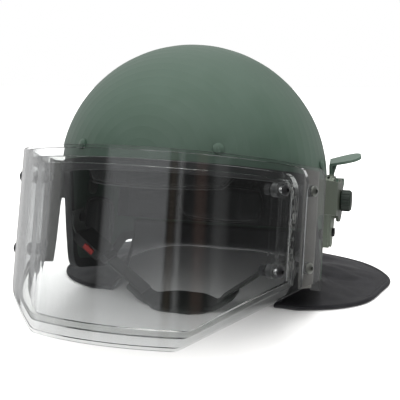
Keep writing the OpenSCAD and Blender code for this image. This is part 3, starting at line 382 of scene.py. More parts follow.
# Sheet of the brackets: grey and brushed behind the shield, painted from its bend to the pivot
bracketLook = {
    "colour": (0.100, 0.098, 0.090), "bright": (0.150, 0.147, 0.136), "paint": (0.040, 0.050, 0.036),
    "worn": (0.45, 0.45, 0.43), "rough": (0.34, 0.50), "paintFrom": -0.048, "paintBlend": 0.004,
    "metal": 0.55, "brush": 260.0, "stretch": (12.0, 0.9, 12.0), "blotch": 700.0, "depth": 0.00004,
    "edge": 0.0005, "wear": 0.5,
}


def brushedMaterial(look):
    material, tree, shader = startMaterial("brushedSheet", Specular_IOR_Level=0.6)
    brush = useGroup(tree, "grain", Scale=look["brush"], Stretch=look["stretch"])
    patches = useGroup(tree, "grain", Scale=look["blotch"])
    share = spread(tree, brush.outputs["Height"], *effectSet["rough"])
    base = mixColour(tree, share, (*look["colour"], 1), (*look["bright"], 1))
    place = put(tree, "SeparateXYZ", {0: put(tree, "TexCoord").outputs["Object"]})
    painted = spread(tree, place.outputs[1], look["paintFrom"], look["paintFrom"] + look["paintBlend"])
    base = mixColour(tree, painted, base, (*look["paint"], 1))
    worn = useGroup(tree, "edges", Radius=look["edge"]).outputs["Mask"]
    wornShare = maths(tree, "MULTIPLY", worn, look["wear"])
    tree.links.new(mixColour(tree, wornShare, base, (*look["worn"], 1)), shader.inputs["Base Color"])
    rough = spread(tree, patches.outputs["Patches"], *effectSet["rough"], *look["rough"])
    tree.links.new(rough, shader.inputs["Roughness"])
    tree.links.new(spread(tree, painted, 0, 1, look["metal"], 0.0), shader.inputs["Metallic"])
    bump(tree, shader, brush.outputs["Height"], look["depth"], 0.5)
    return material


materials["brushedSheet"] = brushedMaterial(bracketLook)


# Clear sheet: each lets lamps through, so that what lies behind is lit. An edge has a painted glow:
# emission that stands in for the light that its sheet pipes to it.
paneLooks = {
    # The outer sheet's deeper tint is partly the sheet's own colour and partly painted shade, which greys
    # the floor seen through the shield
    "clearOuter": {"tint": (0.835, 0.841, 0.842), "rough": (0.0, 0.012), "clear": 1.0},
    "clearMiddle": {"tint": (0.968, 0.976, 0.976), "rough": (0.0, 0.010), "clear": 1.0},
    "clearInner": {"tint": (0.974, 0.980, 0.979), "rough": (0.0, 0.016), "clear": 1.0},
    "cutEdge": {"tint": (0.96, 0.97, 0.96), "rough": (0.30, 0.48), "clear": 0.2, "paintedEdgeGlow": 0.42},
    "polishedEdge": {"tint": (0.96, 0.97, 0.97), "rough": (0.12, 0.24), "clear": 0.4, "paintedEdgeGlow": 0.36},
}
# Wiping marks on all of them, drawn out upwards, and what a lamp's light keeps on its way through
paneMarks = {"scale": 420.0, "stretch": (1.0, 1.0, 0.12), "span": (0.5, 0.75), "lamps": (0.99, 0.99, 0.99)}


def letLampsThrough(tree, shader, tint):
    out = next(node for node in tree.nodes if node.type == "OUTPUT_MATERIAL")
    clear = put(tree, "BsdfTransparent", {"Color": (*tint, 1)})
    fromLamp = put(tree, "LightPath").outputs["Is Shadow Ray"]
    joined = put(tree, "MixShader", {0: fromLamp})
    tree.links.new(shader.outputs[0], joined.inputs[1])
    tree.links.new(clear.outputs[0], joined.inputs[2])
    tree.links.new(joined.outputs[0], out.inputs[0])


def paneMaterial(name, look):
    # Emission on the edges is a painted glow for the light that the sheet pipes to them
    material, tree, shader = startMaterial(
        name, Transmission_Weight=look["clear"], IOR=1.5, Specular_IOR_Level=0.5,
        Base_Color=(*look["tint"], 1), Emission_Color=(0.95, 1.0, 0.98, 1),
        Emission_Strength=look.get("paintedEdgeGlow", 0.0),
    )
    marks = useGroup(tree, "grain", Scale=paneMarks["scale"], Stretch=paneMarks["stretch"])
    rough = spread(tree, marks.outputs["Patches"], *paneMarks["span"], *look["rough"])
    tree.links.new(rough, shader.inputs["Roughness"])
    letLampsThrough(tree, shader, paneMarks["lamps"])
    return material


for name, look in paneLooks.items():
    materials[name] = paneMaterial(name, look)


# Sealant and set adhesive: colour in two tones, size of the blobs and roughness over a span of them. The
# sealant lets lamps through, as the panes do.
blobLooks = {
    "clearSealant": {
        "dark": (0.90, 0.92, 0.90), "pale": (0.98, 0.98, 0.97), "scale": 620.0, "span": (0.5, 0.75),
        "rough": (0.0, 0.10), "clear": 1.0, "bending": 1.38, "lamps": (0.9, 0.9, 0.9),
    },
    "setGlue": {
        "dark": (0.55, 0.57, 0.55), "pale": (0.85, 0.86, 0.84), "scale": 900.0, "span": (0.4, 0.7),
        "rough": (0.12, 0.35), "clear": 0.35, "bending": 1.45, "lamps": None,
    },
}


def blobMaterial(name, look):
    material, tree, shader = startMaterial(name, Transmission_Weight=look["clear"], IOR=look["bending"])
    blobs = useGroup(tree, "grain", Scale=look["scale"]).outputs["Patches"]
    share = spread(tree, blobs, *effectSet["blobs"])
    base = mixColour(tree, share, (*look["dark"], 1), (*look["pale"], 1))
    tree.links.new(base, shader.inputs["Base Color"])
    tree.links.new(spread(tree, blobs, *look["span"], *look["rough"]), shader.inputs["Roughness"])
    if look["lamps"]:
        letLampsThrough(tree, shader, look["lamps"])
    return material


for name, look in blobLooks.items():
    materials[name] = blobMaterial(name, look)

# Impact foam: colour of a bead and between the beads
foamLook = {
    "bead": (0.030, 0.030, 0.032), "between": (0.012, 0.012, 0.013), "scale": 330.0, "span": (0.1, 0.7),
    "depth": 0.0005,
}


def foamMaterial(look):
    material, tree, shader = startMaterial("hardFoam", Roughness=0.85)
    place = put(tree, "TexCoord").outputs["Object"]
    beads = put(tree, "TexVoronoi", {"Vector": place, "Scale": look["scale"]}).outputs["Distance"]
    share = spread(tree, beads, *look["span"])
    base = mixColour(tree, share, (*look["bead"], 1), (*look["between"], 1))
    tree.links.new(base, shader.inputs["Base Color"])
    bump(tree, shader, maths(tree, "SUBTRACT", 1.0, beads), look["depth"], 0.7)
    return material


materials["hardFoam"] = foamMaterial(foamLook)

# Cloth of the cushions: a knit that follows the place, whichever way the cloth faces, and webbing of the
# straps, woven along them
clothLook = {
    "dark": (0.010, 0.011, 0.012), "pale": (0.035, 0.037, 0.038), "pitch": 0.0011, "depth": 0.0003,
    "turn": (0.62, 0.35, 0.78), "patches": 500.0,
}
webbingLook = {
    "dark": (0.008, 0.010, 0.009), "pale": (0.030, 0.036, 0.032), "pitch": 0.0013, "depth": 0.0004,
}


def clothMaterial(look):
    material, tree, shader = startMaterial(
        "cushionCloth", Roughness=0.9, Sheen_Weight=0.25, Sheen_Roughness=0.5
    )
    coords = put(tree, "TexCoord")
    turned = put(tree, "Mapping", {"Vector": coords.outputs["Object"], "Rotation": look["turn"]})
    weave = useGroup(tree, "weave", Vector=turned.outputs[0], Pitch=look["pitch"])
    patches = useGroup(tree, "grain", Scale=look["patches"])
    tone = maths(tree, "MULTIPLY", weave.outputs["Height"], patches.outputs["Patches"], clamp=True)
    base = mixColour(tree, tone, (*look["dark"], 1), (*look["pale"], 1))
    tree.links.new(base, shader.inputs["Base Color"])
    bump(tree, shader, weave.outputs["Height"], look["depth"], 0.8)
    return material


materials["cushionCloth"] = clothMaterial(clothLook)


def webbingMaterial(look):
    material, tree, shader = startMaterial(
        "strapWebbing", Roughness=0.78, Sheen_Weight=0.2, Sheen_Roughness=0.4
    )
    flat = put(tree, "UVMap", uv_map="flat").outputs[0]
    weave = useGroup(tree, "weave", Vector=flat, Pitch=look["pitch"])
    tone = spread(tree, weave.outputs["Height"], 0.0, 1.0)
    base = mixColour(tree, tone, (*look["dark"], 1), (*look["pale"], 1))
    tree.links.new(base, shader.inputs["Base Color"])
    bump(tree, shader, weave.outputs["Height"], look["depth"], 0.9)
    return material


materials["strapWebbing"] = webbingMaterial(webbingLook)

# Leather-like hides: colour in the creases and on the crowns, roughness range and size of the pebbles
hideLooks = {
    "guardHide": {
        "dark": (0.006, 0.006, 0.008), "pale": (0.018, 0.018, 0.021), "rough": (0.36, 0.55), "scale": 900.0,
    },
    "cupHide": {
        "dark": (0.012, 0.014, 0.013), "pale": (0.030, 0.036, 0.032), "rough": (0.45, 0.6), "scale": 1100.0,
    },
}


def hideMaterial(name, look):
    material, tree, shader = startMaterial(name, Specular_IOR_Level=0.36)
    hide = useGroup(tree, "hide", Scale=look["scale"])
    share = spread(tree, hide.outputs["Creases"], *effectSet["creases"])
    base = mixColour(tree, share, (*look["dark"], 1), (*look["pale"], 1))
    tree.links.new(base, shader.inputs["Base Color"])
    rough = spread(tree, hide.outputs["Creases"], *effectSet["rough"], *look["rough"])
    tree.links.new(rough, shader.inputs["Roughness"])
    fine = maths(tree, "MULTIPLY_ADD", hide.outputs["Creases"], 2.0, hide.outputs["Height"])
    bump(tree, shader, fine, 0.0003, 0.7)
    return material


for name, look in hideLooks.items():
    materials[name] = hideMaterial(name, look)
print("materials made,", len(materials))

nodeFinish = {
    "armyGreenPaint": ["shell", "liner_screws"],
    "litHousingPaint": ["pivot_housing_l", "pivot_housing_r"],
    "knobPaint": ["knob_l", "knob_r"],
    "leverPaint": ["latch_lever_l", "latch_lever_r"],
    "blackRubber": ["rim_trim", "friction_washer_l", "friction_washer_r"],
    "blackPlastic": ["buckle_body", "buckle_tongue"],
    "redPlastic": ["buckle_button"],
    "blackSteel": ["front_screws", "visor_nuts", "housing_screws", "neck_guard_studs", "strap_rivets"],
    "zincSteel": ["rear_screws", "pivot_bolt_l", "pivot_bolt_r", "latch_pin_l", "latch_pin_r"],
    "smokedNylon": ["gap_spacers"],
    "brushedSheet": ["bracket_l", "bracket_r"],
    "hardFoam": ["impact_liner"],
}
for finish, names in nodeFinish.items():
    for name in names:
        for slot in nodes[name].material_slots:
            slot.material = materials[finish]


def addPiece(name, mesh, finish, body="helmet", replaced=()):
    mesh.name = name
    piece = bpy.data.objects.new(name, mesh)
    scene.collection.objects.link(piece)
    mesh.materials.clear()
    mesh.materials.append(materials[finish])
    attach(piece, body)
    if replaced:
        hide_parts(*replaced)
    return piece


def fromBmesh(bm):
    mesh = bpy.data.meshes.new("mesh")
    bm.to_mesh(mesh)
    bm.free()
    return mesh


def evaluated(piece):
    depsgraph = bpy.context.evaluated_depsgraph_get()
    return bpy.data.meshes.new_from_object(piece.evaluated_get(depsgraph))


def bake(piece):
    mesh = evaluated(piece)
    piece.modifiers.clear()
    old = piece.data
    piece.data = mesh
    bpy.data.meshes.remove(old)


def liftFromFloor(mesh):
    for v in mesh.vertices:
        v.co.z = max(v.co.z, floorSet["clear"])


# Floor: what lies on it stays this far clear of it, and the floor itself lies a little lower
floorSet = {"size": 12.0, "colour": (0.96, 0.96, 0.96), "clear": 0.0001, "level": -0.0002}
bm = bmesh.new()
bmesh.ops.create_grid(bm, x_segments=8, y_segments=8, size=floorSet["size"])
floorMesh = fromBmesh(bm)
floor = bpy.data.objects.new("studioFloor", floorMesh)
floor.location.z = floorSet["level"]
scene.collection.objects.link(floor)
floorMaterial, floorTree, floorShader = startMaterial("paleFloor", Roughness=0.7)
floorShader.inputs["Base Color"].default_value = (*floorSet["colour"], 1)
floorMesh.materials.append(floorMaterial)
floorOut = next(node for node in floorTree.nodes if node.type == "OUTPUT_MATERIAL")
# Rays that glass or paint has mirrored pass the floor, so it doesn't veil the shield
passes = maths(floorTree, "MINIMUM", put(floorTree, "LightPath").outputs["Glossy Depth"], 1.0)
openFloor = put(floorTree, "BsdfTransparent")
floorMix = put(floorTree, "MixShader", {0: passes, 1: floorShader.outputs[0], 2: openFloor.outputs[0]})
floorTree.links.new(floorMix.outputs[0], floorOut.inputs[0])
floor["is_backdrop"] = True
print("floor and light set")

# Inside of the shell, drawn in by d
shellSet = {"halfW": 0.127, "halfL": 0.142, "rise": 0.005}


def wallPoint(angle, z, d):
    w, l = shellSet["halfW"] - d, shellSet["halfL"] - d
    k = math.sqrt(1 - (max(0.0, z - shellSet["rise"]) / w) ** 2)
    return fromHead(w * k * math.sin(angle), -l * k * math.cos(angle), z)


def domePoint(x, y, d):
    w, l = shellSet["halfW"] - d, shellSet["halfL"] - d
    return fromHead(x, y, shellSet["rise"] + math.sqrt(w * w - x * x - (y * w / l) ** 2))


def keepInside(p, d):
    w, l = shellSet["halfW"] - d, shellSet["halfL"] - d
    h = toHead(p)
    up = max(0.0, h.z - shellSet["rise"])
    k = math.sqrt((h.x / w) ** 2 + (h.y / l) ** 2 + (up / w) ** 2)
    if k <= 1:
        return p
    return fromHead(h.x / k, h.y / k, h.z - up + up / k)


# Cushions: span in plan degrees and height in mm, or the crown's half size, and depth inside the shell. The
# rim and the two channels are sewn, and the cloth between them fills, by the cap at most.
cushionSet = {
    "voxel": 0.003, "shrink": 0.0005, "pull": 0.28, "pressure": 4.0, "mass": 0.15, "steps": 20,
    "cap": 0.0016, "rimDepth": 0.0018, "rimPoints": 48, "piping": 0.0011, "wallGap": 0.0002, "sewn": 0.7,
    "channels": (-1 / 3, 1 / 3), "channelDepths": (0.0035, 0.0055, 0.0075), "channelPoints": 33,
}
cushions = {
    "browCushion": {"node": "brow_pad", "span": (-38, 38), "height": (-13, 27), "depth": 0.0177},
    "rearCushion": {"node": "rear_pad", "span": (150, 210), "height": (-36, 4), "depth": 0.0177},
    "sideCushionLeft": {"node": "side_pad_l", "span": (58, 104), "height": (14, 44), "depth": 0.0177},
    "earCushionLeft": {"node": "ear_pad_l", "span": (89, 112), "height": (-76, -20), "depth": 0.0053},
    "crownCushion": {"node": "crown_pad", "half": (0.046, 0.0529), "depth": 0.0177},
}
# Each of these is mirrored to the wearer's right: the new piece's name and the node that it stands for
twins = {
    "sideCushionLeft": ("sideCushionRight", "side_pad_r"),
    "earCushionLeft": ("earCushionRight", "ear_pad_r"),
}


def drawnIn(u, v):
    return u * math.sqrt(1 - cushionSet["pull"] * v * v)


def cushionPlace(shape, u, v, d):
    if "half" in shape:
        return domePoint(drawnIn(u, v) * shape["half"][0], drawnIn(v, u) * shape["half"][1], d)
    (a0, a1), (z0, z1) = shape["span"], shape["height"]
    angle = math.radians((a0 + a1) / 2 + drawnIn(u, v) * (a1 - a0) / 2)
    return wallPoint(angle, ((z0 + z1) / 2 + drawnIn(v, u) * (z1 - z0) / 2) / 1000, d)


def mergedCopy(nodeName):
    bm = bmesh.new()
    bm.from_mesh(nodes[nodeName].data)
    bmesh.ops.remove_doubles(bm, verts=bm.verts, dist=0.00001)
    bmesh.ops.recalc_face_normals(bm, faces=bm.faces)
    return bm


def inflate(piece, seams):
    sewn = piece.vertex_groups.new(name="sewn")
    near = cushionSet["voxel"] * cushionSet["sewn"]
    held = [v.index for v in piece.data.vertices if min((v.co - s).length for s in seams) < near]
    sewn.add(held, 1.0, "REPLACE")
    before = [v.co.copy() for v in piece.data.vertices]
    cloth = piece.modifiers.new("filling", "CLOTH")
    cloth.settings.quality = 5
    cloth.settings.mass = cushionSet["mass"]
    cloth.settings.use_pressure = True
    cloth.settings.uniform_pressure_force = cushionSet["pressure"]
    cloth.settings.vertex_group_mass = "sewn"
    cloth.settings.effector_weights.gravity = 0
    cloth.point_cache.frame_start, cloth.point_cache.frame_end = 1, cushionSet["steps"]
    for step in range(1, cushionSet["steps"] + 1):
        scene.frame_set(step)
    full = evaluated(piece)
    piece.modifiers.clear()
    for v, start in zip(full.vertices, before):
        move = v.co - start
        if move.length > cushionSet["cap"]:
            v.co = start + move.normalized() * cushionSet["cap"]
    piece.data = full
    piece.vertex_groups.clear()
    scene.frame_set(1)


def cushion(name, shape):
    bm = mergedCopy(shape["node"])
    bmesh.ops.subdivide_edges(bm, edges=bm.edges, cuts=1, use_grid_fill=True, smooth=0.6)
    for v in bm.verts:
        v.co -= v.normal * cushionSet["shrink"]
    piece = addPiece(name, fromBmesh(bm), "cushionCloth", replaced=[shape["node"]])
    remesh = piece.modifiers.new("voxels", "REMESH")
    remesh.mode = "VOXEL"
    remesh.voxel_size = cushionSet["voxel"]
    remesh.use_smooth_shade = True
    bake(piece)
    steps = [-1 + 2 * i / cushionSet["rimPoints"] for i in range(cushionSet["rimPoints"])]
    ring = [(s, -1) for s in steps] + [(1, s) for s in steps]
    ring += [(-s, 1) for s in steps] + [(-1, -s) for s in steps]
    rim = [cushionPlace(shape, u, v, shape["depth"] + cushionSet["rimDepth"]) for u, v in ring]
    seams = list(rim)
    for u in cushionSet["channels"]:
        for i in range(cushionSet["channelPoints"]):
            v = -1 + 2 * i / (cushionSet["channelPoints"] - 1)
            for lift in cushionSet["channelDepths"]:
                seams.append(cushionPlace(shape, u, v, shape["depth"] + lift))
    inflate(piece, seams)
    finer = piece.modifiers.new("finer", "SUBSURF")
    finer.levels = finer.render_levels = 1
    bake(piece)
    for v in piece.data.vertices:
        v.co = keepInside(v.co, shape["depth"] - cushionSet["wallGap"])
    piece.data.shade_smooth()
    return piece, rim


def pipingTube(name, points, radius, finish, closed=True, body="helmet"):
    curve = bpy.data.curves.new(name, "CURVE")
    curve.dimensions = "3D"
    curve.bevel_depth = radius
    curve.bevel_resolution = 3
    curve.use_fill_caps = True
    spline = curve.splines.new("POLY")
    spline.points.add(len(points) - 1)
    for point, place in zip(spline.points, points):
        point.co = (*place, 1)
    spline.use_cyclic_u = closed
    holder = bpy.data.objects.new(name + "Curve", curve)
    scene.collection.objects.link(holder)
    mesh = evaluated(holder)
    bpy.data.objects.remove(holder)
    mesh.shade_smooth()
    return addPiece(name, mesh, finish, body)


def mirrorMesh(mesh):
    bm = bmesh.new()
    bm.from_mesh(mesh)
    bmesh.ops.scale(bm, vec=(-1, 1, 1), verts=bm.verts)
    bmesh.ops.reverse_faces(bm, faces=bm.faces)
    mesh = fromBmesh(bm)
    mesh.shade_smooth()
    return mesh


for name, shape in cushions.items():
    piece, rim = cushion(name, shape)
    pipingName = name.replace("Cushion", "Piping")
    piping = pipingTube(pipingName, rim, cushionSet["piping"], "cushionCloth")
    if name in twins:
        otherName, otherNode = twins[name]
        otherMesh, otherPiping = mirrorMesh(piece.data), mirrorMesh(piping.data)
        other = addPiece(otherName, otherMesh, "cushionCloth", replaced=[otherNode])
        addPiece(otherName.replace("Cushion", "Piping"), otherPiping, "cushionCloth")
    print("cushion", name, len(piece.data.vertices))

# Neck guard: one hide hung from the nape band and spread on the floor, in mm and degrees, its thickness in
# m. The band runs inside the shell for spread degrees to each side of the nape. The hem is an oval whose
# middle lies start behind the dome's centre. It bulges behind the ears, flares past them and is tucked in at
# its two ends: flare and tuck give a share, the angle where it begins and the angle that it takes. The arch
# has a height, the angle of its middle, the angle that it fades over, and 1 plus the share of that angle
# that stays full. Creases and crumples have a rate along the hem, one down to it, and a depth.
guardSet = {
    "spread": 54, "hemSpread": 154, "halfW": 180, "rear": 199, "start": 90, "inset": 8.3, "clear": 1.5,
    "bandTop": -41.5, "bandLow": -64.5, "fall": 2.6, "flare": (0.16, 94, 50), "tuck": (0.06, 148, 6),
    "bulge": 0.03, "bulgeRate": 1.55, "fold": 3.0, "foldInPlan": 0.35, "foldInHeight": 0.8, "waves": 9,
    "arch": (6.0, 50, 50, 1.2), "crease": (9.0, 1.6, 2.6), "crumple": (26.0, 5.0, 0.9), "seed": 4,
    "wearIn": 2.2, "wearOut": (5, 0.12), "hemRise": 0.8, "thickness": 0.0026, "columns": 176, "rows": 46,
}


def ease(t):
    t = max(0.0, min(1.0, t))
    return t * t * (3 - 2 * t)


def hemDraw(side):
    share, begin, run = guardSet["flare"]
    draw = 1 + share * ease((side - begin) / run)
    share, begin, run = guardSet["tuck"]
    draw -= share * ease((side - begin) / run)
    bulgeTurn = math.radians(min(180, side * guardSet["bulgeRate"]))
    return draw + guardSet["bulge"] * math.sin(bulgeTurn) ** 2


def roughness(effect, u, t, seed):
    along, down, depth = guardSet[effect]
    return noise.noise(Vector((u * along, t * down, seed))) * depth


# A point of the guard: u from -1 to 1 along it, k from 0 to 1 down the band and on to guardRuns at the hem
guardRuns = 9


def guardPoint(u, k):
    a = u * guardSet["spread"]
    b = u * guardSet["hemSpread"]
    side, rad, turn = abs(b), math.radians(a), math.radians(b)
    width = shellSet["halfW"] - guardSet["inset"] / 1000
    length = shellSet["halfL"] - guardSet["inset"] / 1000
    height = guardSet["bandTop"] + (guardSet["bandLow"] - guardSet["bandTop"]) * min(k, 1)
    rim = fromHead(width * math.sin(rad), length * math.cos(rad), height / 1000)
    if k <= 1:
        return rim
    rim *= 1000
    t = (k - 1) / (guardRuns - 1)
    draw = hemDraw(side)
    wave = math.sin(math.radians(side * guardSet["waves"]))
    fold = guardSet["fold"] * guardSet["foldInPlan"] * wave * ease(t)
    depth = guardSet["start"] + (guardSet["rear"] - guardSet["start"]) * math.cos(turn) * draw
    footX = (guardSet["halfW"] * draw + fold) * math.sin(turn)
    footY = stand["back"] * 1000 + depth
    lift = (1 - t) ** guardSet["fall"]
    swell = (1 - lift) * ease(1 - abs(2 * t - 1)) * guardSet["fold"] * guardSet["foldInHeight"] * (1 + wave)
    arch, middle, fade, full = guardSet["arch"]
    swell += arch * math.sin(math.pi * t) * ease(full - abs(side - middle) / fade)
    z = guardSet["clear"] + (rim.z - guardSet["clear"]) * lift + swell
    worn = roughness("crease", u, t, guardSet["seed"]) + roughness("crumple", u, t, guardSet["seed"] + 9)
    outRate, outShare = guardSet["wearOut"]
    wornShare = ease(t * guardSet["wearIn"]) * ease((1 - t) * outRate + outShare)
    z += worn * wornShare + guardSet["hemRise"] * (t > 0.5)
    place = Vector((rim.x + (footX - rim.x) * t, rim.y + (footY - rim.y) * t, max(z, guardSet["clear"])))
    return place / 1000


def neckGuard():
    bm = bmesh.new()
    bmesh.ops.create_grid(bm, x_segments=guardSet["columns"], y_segments=guardSet["rows"], size=1)
    for v in bm.verts:
        v.co = guardPoint(v.co.x, (1 - v.co.y) / 2 * guardRuns)
    bmesh.ops.recalc_face_normals(bm, faces=bm.faces)
    if sum(face.normal.z for face in bm.faces) < 0:
        bmesh.ops.reverse_faces(bm, faces=bm.faces)
    area = sum(face.calc_area() for face in bm.faces)
    guard = addPiece("neckGuard", fromBmesh(bm), "guardHide", replaced=["neck_guard"])
    skin = guard.modifiers.new("thickness", "SOLIDIFY")
    skin.thickness = guardSet["thickness"]
    skin.offset = 0
    bake(guard)
    liftFromFloor(guard.data)
    guard.data.shade_smooth()
    print("neck guard made, flat area", round(area, 4))


neckGuard()

# Binding along the guard's hem and both ends: its radius and how far down it runs, and its least height
bindingSet = {"radius": 0.0023, "down": 8.98, "steps": 220, "endSteps": 60, "low": 0.0024}
hemSteps = range(bindingSet["steps"] + 1)
hemPath = [guardPoint(-1 + 2 * i / bindingSet["steps"], bindingSet["down"]) for i in hemSteps]
ends = []
for u in (-1, 1):
    climbs = [i / bindingSet["endSteps"] for i in range(bindingSet["endSteps"] + 1)]
    ends.append([guardPoint(u, guardRuns - (guardRuns - 1) * climb) for climb in climbs])
binding = list(reversed(ends[0])) + hemPath[1:-1] + ends[1]
for p in binding:
    p.z = max(p.z, bindingSet["low"])
pipingTube("neckGuardBinding", binding, bindingSet["radius"], "guardHide", closed=False)

# Row of stitches beside the binding
stitchSet = {
    "length": 0.0030, "gap": 0.0014, "thick": 0.0007, "down": 8.72, "rise": 0.0014, "reach": 0.985,
    "steps": 300,
}


def stitchRow(name, path, finish):
    bm = bmesh.new()
    length, gap, thick = stitchSet["length"], stitchSet["gap"], stitchSet["thick"]
    walked, nextAt, count = 0.0, gap, 0
    for a, b in zip(path, path[1:]):
        step = (b - a).length
        while walked + step >= nextAt:
            place = a.lerp(b, (nextAt - walked) / step)
            along = (b - a).normalized()
            up = Vector((0, 0, 1)) - along * along.z
            side = up.cross(along).normalized()
            turn = Matrix((along, side, up)).transposed().to_4x4()
            made = bmesh.ops.create_icosphere(bm, subdivisions=1, radius=1)["verts"]
            bmesh.ops.scale(bm, vec=(length / 2, thick / 2, thick / 2), verts=made)
            bmesh.ops.transform(bm, matrix=Matrix.Translation(place) @ turn, verts=made)
            nextAt += length + gap
            count += 1
        walked += step
    mesh = fromBmesh(bm)
    mesh.shade_smooth()
    addPiece(name, mesh, finish)
    print(name, count, "stitches")


raised = Vector((0, 0, stitchSet["rise"]))
seamPath = []
for i in range(stitchSet["steps"] + 1):
    u = stitchSet["reach"] * (-1 + 2 * i / stitchSet["steps"])
    seamPath.append(guardPoint(u, stitchSet["down"]) + raised)
stitchRow("neckGuardStitches", seamPath, "cushionCloth")

# Shield panes: copies of the solids with their cut faces apart and a small bevel along them
paneSet = {
    "arcCentre": 0.0735, "radius": 0.125, "halfArc": math.radians(67.5), "bevel": 0.0004, "faceTurn": 0.9,
    "airGap": 0.00003, "sharp": math.radians(8), "merge": math.radians(0.5),
}
panes = [
    ("outerPane", "outer_pane", "clearOuter", "polishedEdge"),
    ("middlePane", "middle_pane", "clearMiddle", "cutEdge"),
    ("innerPane", "inner_pane", "clearInner", "polishedEdge"),
    ("paneSeal", "pane_seal", "clearSealant", "clearSealant"),
]


def paneNormal(h):
    angle = math.atan2(h.x, -(h.y + paneSet["arcCentre"]))
    angle = max(-paneSet["halfArc"], min(paneSet["halfArc"], angle))
    if h.y > -paneSet["arcCentre"] - paneSet["radius"] * math.cos(paneSet["halfArc"]):
        angle = math.copysign(paneSet["halfArc"], h.x)
    return Vector((math.sin(angle), -math.cos(angle), 0))


def isCut(face):
    here = toHead(face.calc_center_median())
    ahead = toHead(face.calc_center_median() + face.normal) - here
    return abs(ahead.dot(paneNormal(here))) < paneSet["faceTurn"]


def turnsToCut(edge):
    faces = edge.link_faces
    return len(faces) == 2 and faces[0].material_index != faces[1].material_index


for name, nodeName, clear, cut in panes:
    bm = mergedCopy(nodeName)
    for v in bm.verts:
        here = toHead(v.co)
        face = max(v.link_faces, key=lambda f: abs((toHead(v.co + f.normal) - here).dot(paneNormal(here))))
        v.co -= face.normal * paneSet["airGap"]
    bmesh.ops.dissolve_limit(bm, angle_limit=paneSet["merge"], verts=bm.verts, edges=bm.edges)
    for face in bm.faces:
        face.material_index = 1 if isCut(face) else 0
        face.smooth = True
    rims = [edge for edge in bm.edges if turnsToCut(edge)]
    print(name, len(bm.faces), "faces,", len(rims), "rim edges")
    bmesh.ops.bevel(
        bm, geom=rims, affect="EDGES", offset=paneSet["bevel"], segments=2, profile=0.5, material=-1,
        clamp_overlap=True,
    )
    for face in bm.faces:
        face.material_index = 1 if isCut(face) else 0
    for edge in bm.edges:
        kinds = {face.material_index for face in edge.link_faces}
        edge.smooth = len(kinds) == 1 and edge.calc_face_angle(0) < paneSet["sharp"]
    pane = addPiece(name, fromBmesh(bm), clear, body="visor", replaced=[nodeName])
    pane.data.materials.append(materials[cut])
print("panes made")

# Runs of set adhesive in the seal, beside the screws: two at each side, this far along the shield's flank.
# A run wanders: its drift and its sway each keep a share of their last value, and the sway takes up another
# share of the drift.
glueSet = {
    "runs": (0.0175, 0.0196), "sway": 0.0022, "depth": 0.0101, "depthSway": 0.0012, "low": -0.082,
    "high": 0.0, "step": 0.0011, "stepSway": 0.45, "radius": 0.00022, "seed": 11, "wander": (0.6, 0.75, 0.5),
}
arcSin, arcCos = math.sin(paneSet["halfArc"]), math.cos(paneSet["halfArc"])
sideStart = Vector((paneSet["radius"] * arcSin, -paneSet["arcCentre"] - paneSet["radius"] * arcCos))
sideAlong = Vector((arcCos, arcSin))


def glueRun(name, side, run, seed):
    source = random.Random(glueSet["seed"] + seed)
    points, sway, drift = [], 0.0, 0.0
    driftKept, swayKept, taken = glueSet["wander"]
    count = int((glueSet["high"] - glueSet["low"]) / glueSet["step"])
    for i in range(count):
        drift = driftKept * drift + source.uniform(-1, 1)
        sway = max(-1, min(1, swayKept * sway + taken * drift))
        stepSway = source.uniform(-glueSet["stepSway"], glueSet["stepSway"])
        z = glueSet["low"] + glueSet["step"] * (i + stepSway)
        flat = sideStart + sideAlong * (run + sway * glueSet["sway"])
        depth = glueSet["depth"] + source.uniform(-glueSet["depthSway"], glueSet["depthSway"])
        flat += Vector((-sideAlong.y, sideAlong.x)) * depth
        points.append(fromHead(side * flat.x, flat.y, z))
    pipingTube(name, points, glueSet["radius"], "setGlue", closed=False, body="visor")


for side, label in ((1, "Left"), (-1, "Right")):
    for k, run in enumerate(glueSet["runs"]):
        glueRun("glueRun" + label + str(k + 1), side, run, k * 7 + (side > 0))
print("adhesive runs made")

# Straps: a band across Y, bent along its path in the XZ plane, in mm, its thickness and soft edges in m
strapSet = {
    "middleY": -21.608, "width": 22, "thickness": 0.0018, "softEdge": 0.0005, "bend": 9.0, "bendSteps": 8,
    "low": (38.297, 10.196), "corner": (114.117, 65.282), "top": (114.117, 86.0), "step": 1.6, "columns": 10,
    "slope": math.radians(36), "tongueEnd": 46.72, "buckleEnd": 88.74, "rippleRate": 60, "ripple": 0.25,
    "hardTurn": math.radians(50),
}


def strapPath(points, bend):
    path = [Vector(points[0])]
    for before, corner, after in zip(points, points[1:], points[2:]):
        before, corner, after = Vector(before), Vector(corner), Vector(after)
        into, out = (corner - before).normalized(), (after - corner).normalized()
        a, b = corner - into * bend, corner + out * bend
        for i in range(strapSet["bendSteps"] + 1):
            t = i / strapSet["bendSteps"]
            path.append(a * (1 - t) ** 2 + corner * 2 * t * (1 - t) + b * t * t)
    path.append(Vector(points[-1]))
    fine = []
    for a, b in zip(path, path[1:]):
        n = max(1, int((b - a).length / strapSet["step"]))
        fine += [a.lerp(b, i / n) for i in range(n)]
    return fine + [path[-1]]


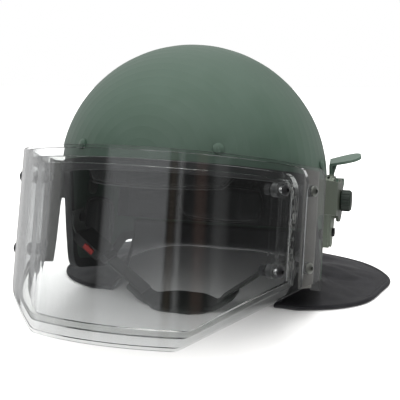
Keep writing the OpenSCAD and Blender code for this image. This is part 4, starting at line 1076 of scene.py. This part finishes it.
def strap(name, points, side, replaced):
    path = strapPath(points, strapSet["bend"])
    run = [0.0]
    for a, b in zip(path, path[1:]):
        run.append(run[-1] + (b - a).length)
    bm = bmesh.new()
    bmesh.ops.create_grid(bm, x_segments=len(path) - 1, y_segments=strapSet["columns"], size=1)
    flat = bm.loops.layers.uv.new("flat")
    for v in bm.verts:
        i = round((v.co.x + 1) / 2 * (len(path) - 1))
        v.co.z = run[i] / 1000
        v.co.x = i
    for face in bm.faces:
        for loop in face.loops:
            loop[flat].uv = (loop.vert.co.z, loop.vert.co.y * strapSet["width"] / 2000)
    for v in bm.verts:
        p = path[int(v.co.x)]
        ripple = noise.noise(Vector((v.co.z * strapSet["rippleRate"], side, 0))) * strapSet["ripple"]
        height = p.y + ripple * (abs(v.co.y) < 0.99)
        v.co = Vector((side * p.x, strapSet["middleY"] + v.co.y * strapSet["width"] / 2, height)) / 1000
    bmesh.ops.recalc_face_normals(bm, faces=bm.faces)
    piece = addPiece(name, fromBmesh(bm), "strapWebbing", replaced=replaced)
    skin = piece.modifiers.new("thickness", "SOLIDIFY")
    skin.thickness = strapSet["thickness"]
    skin.offset = 0
    soft = piece.modifiers.new("edges", "BEVEL")
    soft.width = strapSet["softEdge"]
    soft.segments = 2
    soft.angle_limit = strapSet["hardTurn"]
    bake(piece)
    piece.data.shade_smooth()


def alongStrap(distance):
    return (
        strapSet["low"][0] + distance * math.cos(strapSet["slope"]),
        strapSet["low"][1] + distance * math.sin(strapSet["slope"]),
    )


strap("strapLeft", [strapSet["top"], strapSet["corner"], strapSet["low"]], 1, ["strap_l"])
strap("strapRight", [alongStrap(strapSet["tongueEnd"]), strapSet["low"]], -1, ["strap_r"])
buckleEnd = alongStrap(strapSet["buckleEnd"])
strap("strapBuckleEnd", [strapSet["top"], strapSet["corner"], buckleEnd], -1, ["buckle_strap"])
print("straps made")

# Chin cup: a stuffed cup, from the solid's own form
cupSet = {"voxel": 0.0028, "relax": 6, "swell": 0.0006}


def chinCup():
    bm = mergedCopy("chin_cup")
    piece = addPiece("chinCup", fromBmesh(bm), "cupHide", replaced=["chin_cup"])
    remesh = piece.modifiers.new("voxels", "REMESH")
    remesh.mode = "VOXEL"
    remesh.voxel_size = cupSet["voxel"]
    relax = piece.modifiers.new("relax", "SMOOTH")
    relax.iterations = cupSet["relax"]
    relax.factor = 0.5
    bake(piece)
    for v in piece.data.vertices:
        v.co += v.normal * cupSet["swell"]
    liftFromFloor(piece.data)
    finer = piece.modifiers.new("finer", "SUBSURF")
    finer.levels = finer.render_levels = 1
    bake(piece)
    liftFromFloor(piece.data)
    piece.data.shade_smooth()


chinCup()
print("chin cup made")

size = {"cad": [list(p) for p in cadBox], "visual": [list(p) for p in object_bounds()]}
